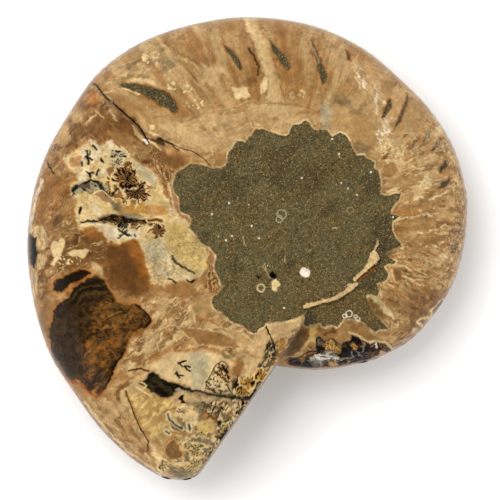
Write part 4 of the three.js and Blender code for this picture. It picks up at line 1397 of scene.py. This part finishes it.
def paint_mouth_foot(skin):
    """The lower end of the last whorl, with the black line between cream and brown."""
    skin.patch("toffee", "168,443 173,440 180,446 182,455 178,459 170,458 165,452", "sharp", 0.85)
    skin.patch("cream", "150,452 166,458 168,464 158,462")
    skin.plume((163, 466), 6, 195, 7, heart="umber", petal="butter", fill=0.1)
    skin.patch("olive_grey", "168,472 184,468 196,478 176,481", "soft", 0.7)
    skin.stroke("black", "126,391 130,403 135,415 141,429 148.5,441.5 147,451", 1.5, "cut")
    skin.stroke("orange", "128,394 134,408 141,424 150,440", 1.8, "sharp", 0.6)
    skin.patch("toffee", "114,397 116,388 128,381 132,384 122,390 118,400", "torn", 0.85)
    smooth = "90,400 114,394 126,402 138,430 148,448 158,476 130,462 104,432"
    skin.agate(smooth, 197, size=16, stretch=2, turn=50, light="light_tan", dark="toffee", strength=0.4,
        soft=3)
    skin.stroke("cream", "84,402 104,428 134,456 160,474", 2, "sharp", 0.8)
    skin.stroke("rust", "82,405 100,428 132,458 160,477", 1.6, "sharp", 0.8)
    skin.stroke("black", "78,402 100,431 130,460 160,480", 4)


def paint_seam(skin):
    """The steep edge of the last whorl over the older one, with a painted sheen on its wall, and the
    polished lobes above it.
    """
    lobes = "170,326 210,334 262,346 268,326 266,320 306,313 304,322 276,364 262,358 215,352 170,350"
    skin.mottle("caramel", lobes, 20, 7, 221, turn=15, hard=0.25, strength=0.6)
    skin.veins("cream", lobes, 26, 6, 222, turn=15, strength=0.6)
    smooth = [
        "176,326 206,330 232,336 244,346 224,348 196,344", "214,326 240,332 256,344 244,347",
        "268,326 290,323 302,321 292,338 284,348 274,346",
    ]
    for tone, lobe in zip(("tawny", "light_tan", "pale"), smooth):
        skin.patch(tone, lobe, "torn", 0.8)
        skin.stroke("cream", lobe, 1.4, "sharp", 0.7, closed=True, broken=True)
    skin.stroke("cream", "266,325 280,324 296,320 305,317", 2.2)
    rubble = "270,340 284,336 298,328 294,340 284,352 277,356"
    skin.patch("slate", rubble, "torn", 0.75)
    skin.mottle("pale", rubble, 5, 3, 229, turn=-50, above=0.3, hard=0.2, soft=1, strength=0.85)
    # Painted sheen: purple-grey light reflected from the steep wall of the seam, which is a real step in the
    # form.
    seam_wall_sheen = "302,326 307,318 310,320 305,333 294,349 283,364 276,368 278,360 290,343"
    skin.patch("sheen_mauve", seam_wall_sheen, "sharp", 0.9)
    skin.stroke("black", "265,325 269,333 272,340 274,345 275,352", 1.6, "cut")
    skin.patch("gold", "276,344 284,338 287,344 280,352", "torn", 0.6)


def paint_inner_whorl(skin):
    """The older whorl at the lower right: golden calcite above the floor of the crystalline strip."""
    calcite = (
        "281,368 290,348 304,328 312,325 320,323 342,322 352,318 364,322 376,332 388,329 412,334 406,343 "
        "392,350 380,344 366,342 352,334 340,344 316,349 298,357")
    skin.patch("tawny", calcite)
    skin.mottle("umber", calcite, 9, 5, 230, turn=-25, above=0.45, strength=0.7)
    skin.mottle("pale", calcite, 10, 4, 232, turn=-25, above=0.3, strength=0.7)
    skin.patch("mud_brown", "286,356 290,346 302,330 309,329 309,340 300,350 292,356", "sharp", 0.7)
    skin.patch("umber", "294,348 292,343 301,333 307,330 306,340 300,346", "torn", 0.7)
    skin.patch("butter", "311,326 318,326 314,338 306,349 302,349 309,338", "torn", 0.75)
    skin.patch("honey", "336,322 350,318 352,334 346,344 338,342 336,332", "torn", 0.8)
    skin.patch("tawny", "352,322 366,328 376,336 392,343 380,341 364,340 354,332", "torn", 0.9)
    skin.patch("light_tan", "376,333 388,334 400,338 394,345 382,340", "torn", 0.7)
    skin.stroke("cream", "350,333 356,334.5 362,339 370,342.5 378,341 386,343.5 392,348.5 398,348", 1.8,
        "sharp", 0.85)
    skin.patch("soot", CRYSTAL_STRIP, "cut")
    skin.patch("gold", "277,358 286,358 287,366 278,366", "torn", 0.6)
    skin.patch("light_tan", "380,351 390,353 383,358 370,361 366,363 374,358 379,356", "sharp")


def paint_main_crack(skin):
    """The crack across the last whorl at the upper left, with a painted highlight beside it."""
    skin.stroke("umber", MAIN_CRACK, 3.4, "torn", 0.5)
    skin.patch("pale", "131,124 138,130 146,142 142,142 134,134", "sharp", 0.8)
    skin.patch("pale", "136,112 146,120 152,134 144,132", "torn", 0.6)
    skin.patch("cream", "149,124 155,125 155,129 150,130", "sharp")
    # Painted highlight: a small white reflection of light beside the crack.
    skin.patch("white", "143,139 150,140 151,144 146,144", "sharp")
    skin.stroke("cream", "151,143 156,146 160,149", 2.4)
    skin.stroke("cream", "150,132 158,136", 2.2)
    skin.patch("soot", "149,139 162,139 166,147 158,144", "sharp", 0.8)
    skin.stroke("soot", "158,139 170,144 178,150", 2, "sharp", 0.8)
    skin.patch("toffee", "156,150 180,154 190,164 172,170 160,164", "soft", 0.7)
    skin.stroke("bark", "160,139 170,144 177.5,146 185,149.5 191,151 197,154 202,157 206,161 210.5,165.5",
        0.9, "cut")
    skin.stroke("black", MAIN_CRACK, 1.4, "cut")
    skin.strokes("cream", ["108,96 112,102", "110,108 117,120", "104,92 112,91"], 1.4, "sharp", 0.6)


def paint_rim(skin):
    """The worn brown skin of shell along the rim, darker at the left with partly painted shade, and black by
    the mouth.
    """
    rim = np.stack(to_pixels(*coarse_venter.T, EQUATOR), axis=1)
    skin.stroke("honey", rim, 4, "torn", 0.5)
    # At the left the rim's broken dark line is partly the shell's own dark edge and partly painted shade
    # that holds down the sheen there.
    skin.stroke("umber", rim[rim[:, 0] < 240], 1.8, "sharp", 0.7, broken=True)
    lip = "275,367 262,386 250,403 238,420 226,438 214,455 204,470 198,476 188,480"
    skin.stroke("soot", lip, 3.4, "torn", 0.85, broken=True)


def paint_mouth_wall(skin):
    """The broken end of the last whorl: a band of calcite about a dark fill, as a whorl shows in section."""
    at = skin.on_mouth
    if not len(at):
        return
    x, y = skin.places[at, :2].T
    height = skin.places[at, 2]
    behind_x = x - MOUTH_SECTION * mouth_out[0]
    behind_y = y - MOUTH_SECTION * mouth_out[1]
    under_top = front_height(behind_x, behind_y) - height
    over_bottom = height - back_height(behind_x, behind_y)
    wall = smoothstep(*MOUTH_CALCITE, under_top)
    fill = smoothstep(*MOUTH_FILL, np.minimum(under_top, over_bottom) + 0.9 * skin.wander_x[at])
    skin.lay(at, "sand", wall)
    skin.lay(at, "cream", wall * smoothstep(0.2, 0.0, np.abs(skin.field(at, 20, 5, 0, 261))) * 0.6)
    skin.lay(at, "toffee", wall * smoothstep(0.2, 0.6, skin.field(at, 14, 6, 20, 262)) * 0.7)
    skin.lay(at, "umber", fill)
    fillings = [
        ("mud_brown", 22, 0.0), ("soot", 16, 0.2), ("caramel", 12, 0.4), ("butter", 8, 0.6),
        ("black", 7, 0.5),
    ]
    for seed, (colour, size, above) in enumerate(fillings):
        clumps = skin.field(at, size, 0.8 * size, 0, 263 + seed)
        skin.lay(at, colour, fill * 0.85 * smoothstep(above - 0.2, above + 0.2, clumps))


def paint_polished_flank(skin):
    """All the markings of the polished flank, the broad ones first."""
    layers = (
        paint_broad_tones, paint_calcite, paint_top, paint_light_band, paint_top_veil, paint_upper_margin,
        paint_right, paint_right_wedges, paint_right_foot, paint_left_side, paint_left_bands, paint_left_rim,
        paint_waist, paint_left_patch, paint_flower, paint_left_growths, paint_dark_body, paint_mouth,
        paint_mouth_growths, paint_mouth_clusters, paint_mouth_foot, paint_seam, paint_inner_whorl,
        paint_main_crack, paint_mudstone, paint_shell_bits, paint_rim, paint_mouth_wall)
    for paint in layers:
        paint(skin)
    skin.crisp()
    skin.save()


def paint_crystals(skin):
    """Dark crystals along the older whorl's rim, red-black and golden in places, with painted highlights."""
    everywhere = np.arange(len(skin.x))
    skin.lay(everywhere, "black", np.ones(len(skin.x)))
    facet, _ = cells(skin.x / 4.4, skin.y / 3.4, 410)
    skin.lay(everywhere, "bark", smoothstep(0.2, 0.95, facet) * 0.9)
    skin.lay(everywhere, "ox_blood", smoothstep(-0.3, -0.9, facet) * 0.8)
    skin.patch("ox_blood", "286,357 297,358 301,362 298,367 288,366", "torn", 0.85)
    skin.patch("caramel", "299,357 305,355 305,361 301,364 298,361", "torn", 0.8)
    skin.patch("gold", "279,356 287,359 287,365 280,365", "torn", 0.7)
    skin.patch("umber", "303,354 311,350 316,351 314,357 307,358", "torn", 0.85)
    skin.stroke("apricot", "302,357 309,353 316,352", 1.4, "sharp", 0.7)
    skin.patch("olive_grey", "317,339 322,340 324,343 321,346 317,345", "sharp", 0.8)
    skin.patch("gold", "323,345 325,341 332,340 335,343 341,347 340,352 334,351 328,349", "torn", 0.9)
    skin.veins("bark", "322,340 336,340 342,352 326,351", 4, 2.2, 411, turn=70, width=0.25, soft=1,
        strength=0.7)
    skin.strokes("butter", ["326,349 327,342", "330,348 331,341", "334,349 334,344", "338,351 337,347"], 1,
        "sharp", 0.9)
    # Painted reflection: a grey-white patch of light on the crystal faces, with white highlights on it
    # below.
    skin.patch("reflection_grey", "308,361 314,357 320,355 326,351 332,351 338,356 336,361 326,360 320,366 314,366")
    skin.patch("slate", "309,361 315,360 320,362 318,367 312,366", "sharp", 0.6)
    skin.mottle("white", "314,356 332,350 342,358 322,362", 4, 2.4, 412, turn=20, soft=1, strength=0.9)
    skin.mottle("umber", "320,350 346,350 346,362 324,364", 4, 2.4, 413, turn=40, above=0.2, soft=1,
        strength=0.8)
    skin.stroke("white", "314.5,357 320,358.5", 2)
    # Painted reflection: thin grey streaks of light along the crystal faces.
    skin.strokes("reflection_grey", ["342,358 347,357 352,357", "351,352 353,357", "356,352 362,357",
        "366,342 362,352"], 1.2, "sharp", 0.6)
    skin.patch("gold", "351,343 355,344 358,348 354,351 352,347", "sharp", 0.9)
    skin.strokes("gold", ["354,343 354,350", "363,341 365,345 362,347", "376,344 372,346"], 1.8, "sharp",
        0.8)
    # Painted highlight: a small white glint on a crystal.
    skin.stroke("white", "376,343 377,347", 1.8, "sharp", 0.9)
    skin.veins("caramel", "366,352 380,350 379,358 368,359", 5, 2.4, 414, turn=-10, width=0.3, soft=1,
        strength=0.9)
    skin.veins("caramel", "380,343 392,348 388,353 380,350", 5, 2.4, 415, turn=30, width=0.3, soft=1,
        strength=0.8)
    skin.patch("caramel", "319,366 327,366 326,369 319,369", "sharp", 0.9)
    skin.patch("light_tan", "327,359 330,363 335,361 338,364 334,366 331,369 328,366", "sharp", 0.85)
    skin.strokes("apricot", ["346,364 349,361", "331,362 336,365"], 1.6, "sharp", 0.9)
    skin.save()


def paint_hidden_flank(skin):
    """Growth lines, dark sutures and worn tan shell on the side that the photograph doesn't show."""
    everything = "-200,-200 700,-200 700,700 -200,700"
    skin.mottle("toffee", everything, 60, 20, 251, hard=0.4, strength=0.6)
    skin.mottle("sand", everything, 40, 12, 252, above=0.3, hard=0.3, strength=0.6)
    skin.mottle("orange", everything, 24, 8, 253, above=0.5, hard=0.2)
    skin.mottle("umber", everything, 12, 6, 256, turn=20, above=0.6, hard=0.2)
    skin.mottle("pale", everything, 9, 5, 257, turn=70, above=0.55, hard=0.2)
    skin.veins("pale", everything, 70, 7, 254)
    skin.veins("umber", everything, 60, 9, 255, width=0.05)
    height = skin.places[:, 2]
    bend = skin.spoke_angle * 40 + 0.03 * skin.spoke_reach + 0.6 * skin.wander_x
    everywhere = np.arange(len(height))
    skin.lay(everywhere, "umber", smoothstep(0.75, 1.0, np.sin(bend * 2.0)) * 0.3)
    navel = np.hypot(skin.places[:, 0] - POLE[0], skin.places[:, 1] - POLE[1])
    skin.lay(everywhere, "mud", smoothstep(4.0, 12.0, height) * smoothstep(37.0, 27.0, navel) * 0.8)
    paint_mouth_wall(skin)
    skin.save()


# Materials

def add_node(tree, kind, sockets=None, **settings):
    """Adds a node. A socket takes a value, or another node's output."""
    node = tree.nodes.new("ShaderNode" + kind)
    for name, value in settings.items():
        setattr(node, name, value)
    for name, value in (sockets or {}).items():
        if isinstance(value, bpy.types.NodeSocket):
            tree.links.new(value, node.inputs[name])
        else:
            node.inputs[name].default_value = value
    return node


def mix_colours(tree, share, first, second, blend="MIX"):
    """The colour a share of the way from the first to the second, or their blend."""
    mixed = add_node(tree, "Mix", {0: share, 6: first, 7: second}, data_type="RGBA", blend_type=blend)
    return mixed.outputs[2]


def mix_values(tree, share, first, second):
    """The value a share of the way from the first to the second."""
    return add_node(tree, "Mix", {0: share, 2: first, 3: second}, data_type="FLOAT").outputs[0]


def spread(tree, value, low, high, to_low, to_high):
    """Stretches a value from one range to another."""
    ranges = {"Value": value, "From Min": low, "From Max": high, "To Min": to_low, "To Max": to_high}
    return add_node(tree, "MapRange", ranges).outputs[0]


def calculate(tree, operation, *values):
    """A sum on values."""
    return add_node(tree, "Math", dict(enumerate(values)), operation=operation).outputs[0]


def brighten(tree, colour, factor):
    """A colour made brighter or darker."""
    return add_node(tree, "VectorMath", {0: colour, "Scale": factor}, operation="SCALE").outputs[0]


def scaled_noise(tree, place, scale, detail, roughness=0.6):
    """Noise in the stone, with a scale of about that many bumps to a metre."""
    bumps = {"Vector": place, "Scale": scale, "Detail": detail, "Roughness": roughness}
    return add_node(tree, "TexNoise", bumps).outputs[0]


def painted(tree, name, output):
    """What is painted on the piece under that name."""
    return add_node(tree, "Attribute", attribute_name=name).outputs[output]


def opaque(colour):
    """A named colour as a node takes it."""
    return (*linear(colour), 1.0)


def stone_grain_group():
    """Cloudy, crumbly polished stone, with grains of sediment where the mask says."""
    tree = bpy.data.node_groups.new("stone_grain", "ShaderNodeTree")
    ways = {
        "INPUT": {"Tint": "Color", "Grit": "Float", "Contrast": "Float"},
        "OUTPUT": {"Color": "Color", "Roughness": "Float", "Height": "Float"},
    }
    for way, sockets in ways.items():
        for name, kind in sockets.items():
            tree.interface.new_socket(name=name, in_out=way, socket_type="NodeSocket" + kind)
    given = tree.nodes.new("NodeGroupInput").outputs
    place = add_node(tree, "TexCoord").outputs["Object"]
    clouds = scaled_noise(tree, place, scale=260, detail=5)
    crumbs = scaled_noise(tree, place, scale=1900, detail=4, roughness=0.7)
    warmth = scaled_noise(tree, place, scale=420, detail=4)

    cloudy = spread(tree, clouds, *NOISE_RANGE, -0.12, 0.12)
    crumbly = spread(tree, crumbs, *NOISE_RANGE, -0.08, 0.08)
    shade = calculate(tree, "ADD", cloudy, crumbly)
    shade = calculate(tree, "MULTIPLY_ADD", shade, given["Contrast"], 1.0)
    warmer = spread(tree, warmth, 0.52, 0.72, 0.0, 0.22)
    warm = mix_colours(tree, warmer, given["Tint"], opaque("orange"), "MULTIPLY")
    polished = brighten(tree, warm, shade)

    grains = add_node(tree, "TexVoronoi", {"Vector": place, "Scale": 4400.0})
    pick = add_node(tree, "SeparateColor", {0: grains.outputs["Color"]}).outputs
    fine = scaled_noise(tree, place, scale=1500, detail=4, roughness=0.75)
    each_grain = spread(tree, pick[0], 0.0, 1.0, 0.62, 1.4)
    within_grains = spread(tree, fine, *NOISE_RANGE, 0.62, 1.4)
    sediment = brighten(tree, given["Tint"], calculate(tree, "MULTIPLY", each_grain, within_grains))
    odd_grains = [
        ("sand", 1, 0.93, 0.95, 0.6), ("black", 1, 0.07, 0.05, 0.8), ("gold", 2, 0.985, 0.99, 0.8)]
    for colour, channel, low, high, strength in odd_grains:
        picked = spread(tree, pick[channel], low, high, 0.0, strength)
        sediment = mix_colours(tree, picked, sediment, opaque(colour))

    colour = mix_colours(tree, given["Grit"], polished, sediment)
    roughness = mix_values(tree, given["Grit"], spread(tree, crumbs, *NOISE_RANGE, 0.12, 0.26), 0.5)
    height = mix_values(tree, given["Grit"], spread(tree, crumbs, *NOISE_RANGE, 0.4, 0.6), fine)
    results = tree.nodes.new("NodeGroupOutput").inputs
    for name, value in (("Color", colour), ("Roughness", roughness), ("Height", height)):
        tree.links.new(value, results[name])
    return tree


def new_material(name):
    """An empty material and its node tree."""
    material = bpy.data.materials.new(name)
    material.use_nodes = True
    material.node_tree.nodes.clear()
    return material, material.node_tree


def stone_material(name, group, contrast, relief, specular):
    """Stone painted with the tint and grit of its piece."""
    material, tree = new_material(name)
    tint = painted(tree, "tint", "Color")
    grit = painted(tree, "grit", "Fac")
    grain = add_node(tree, "Group", {"Tint": tint, "Grit": grit, "Contrast": contrast}, node_tree=group)
    bump = add_node(tree, "Bump", {
        "Height": grain.outputs["Height"], "Strength": relief, "Distance": RELIEF_HEIGHT})
    shader = add_node(tree, "BsdfPrincipled", {
        "Base Color": grain.outputs["Color"], "Roughness": grain.outputs["Roughness"],
        "Normal": bump.outputs[0], "Specular IOR Level": specular})
    add_node(tree, "OutputMaterial", {"Surface": shader.outputs[0]})
    return material


def crystal_material(name):
    """Glassy crystals, darker in their depths, with the tint of their piece."""
    material, tree = new_material(name)
    tint = painted(tree, "tint", "Color")
    place = add_node(tree, "TexCoord").outputs["Object"]
    depths = scaled_noise(tree, place, scale=1500, detail=4, roughness=0.7)
    colour = brighten(tree, tint, spread(tree, depths, *NOISE_RANGE, 0.5, 1.5))
    roughness = spread(tree, scaled_noise(tree, place, scale=900, detail=3), *NOISE_RANGE, 0.05, 0.25)
    shader = add_node(tree, "BsdfPrincipled", {
        "Base Color": colour, "Roughness": roughness, "Specular IOR Level": 0.05})
    add_node(tree, "OutputMaterial", {"Surface": shader.outputs[0]})
    return material


# The pieces

def dress(piece, material):
    """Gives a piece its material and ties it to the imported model."""
    piece.data.materials.clear()
    piece.data.materials.append(material)
    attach(piece, "root")
    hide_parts("ammonite")


grain_group = stone_grain_group()
polished_stone = stone_material("polished_stone", grain_group, contrast=1.0, relief=0.2, specular=0.12)
worn_stone = stone_material("worn_stone", grain_group, contrast=1.4, relief=0.8, specular=0.3)
crystals = crystal_material("dark_crystals")

for number, sector in enumerate(SECTORS):
    whorl = skin_piece(sector, number / len(SECTORS), (number + 1) / len(SECTORS))
    paint_polished_flank(Skin(whorl))
    dress(whorl, polished_stone)

core = core_piece("mudstone_core")
paint_polished_flank(Skin(core))
dress(core, polished_stone)

crust = crystal_crust("crystal_crust")
paint_crystals(Skin(crust))
dress(crust, crystals)

hidden = back_piece("hidden_flank")
paint_hidden_flank(Skin(hidden))
dress(hidden, worn_stone)


# Floor, light and camera

def plain_floor():
    """White paper under the fossil."""
    deselect_all()
    bpy.ops.mesh.primitive_plane_add(size=FLOOR_SIZE, location=(0, 0, 0))
    floor = bpy.context.object
    floor.name = "floor"
    material = bpy.data.materials.new("white_paper")
    material.use_nodes = True
    shader = material.node_tree.nodes["Principled BSDF"]
    shader.inputs["Base Color"].default_value = (0.98, 0.98, 0.98, 1.0)
    shader.inputs["Roughness"].default_value = 1.0
    shader.inputs["Specular IOR Level"].default_value = 0.0
    floor.data.materials.append(material)


def area_light(name, azimuth, elevation, distance, size, power, shows_in_gloss=True):
    """A square light that faces the object from a compass direction, in degrees from +X."""
    light = bpy.data.lights.new(name, "AREA")
    light.size = size
    light.energy = power
    lamp = bpy.data.objects.new(name, light)
    around = math.radians(azimuth)
    up = math.radians(elevation)
    out = distance * math.cos(up)
    lamp.location = (out * math.cos(around), out * math.sin(around), distance * math.sin(up))
    lamp.rotation_euler = (math.pi / 2 - up, 0.0, around + math.pi / 2)
    lamp.visible_glossy = shows_in_gloss
    bpy.context.scene.collection.objects.link(lamp)


def white_room():
    """A pale room, dimmer overhead so that the flat polish doesn't haze over."""
    world = bpy.data.worlds.new("white_room")
    world.use_nodes = True
    tree = world.node_tree
    direction = add_node(tree, "TexCoord").outputs["Generated"]
    upwards = add_node(tree, "SeparateXYZ", {0: direction}).outputs[2]
    brightness = spread(
        tree, upwards, OVERHEAD_START, OVERHEAD_FULL, ROOM_BRIGHTNESS, OVERHEAD_BRIGHTNESS)
    background = tree.nodes["Background"]
    background.inputs[0].default_value = (1.0, 1.0, 1.0, 1.0)
    tree.links.new(brightness, background.inputs[1])
    bpy.context.scene.world = world


def overhead_camera():
    """The camera that took the photograph, straight above the fossil."""
    camera = bpy.data.objects.new("camera", bpy.data.cameras.new("camera"))
    centre = to_millimetres(PHOTO_CENTRE) / MM_PER_METRE
    camera.location = (centre[0], centre[1], CAMERA_HEIGHT / MM_PER_METRE)
    camera.data.sensor_width = SENSOR_WIDTH
    camera.data.lens = SENSOR_WIDTH * (CAMERA_HEIGHT - EQUATOR) / (PHOTO_SIZE * PIXEL)
    camera.data.clip_end = CAMERA_REACH
    bpy.context.scene.collection.objects.link(camera)
    bpy.context.scene.camera = camera


plain_floor()
area_light("key_light", azimuth=132, elevation=58, distance=2.0, size=1.3, power=24.5, shows_in_gloss=False)
area_light("rim_light", azimuth=172, elevation=16, distance=1.0, size=0.25, power=0.35)
white_room()
bpy.context.scene.view_settings.view_transform = "Standard"
overhead_camera()
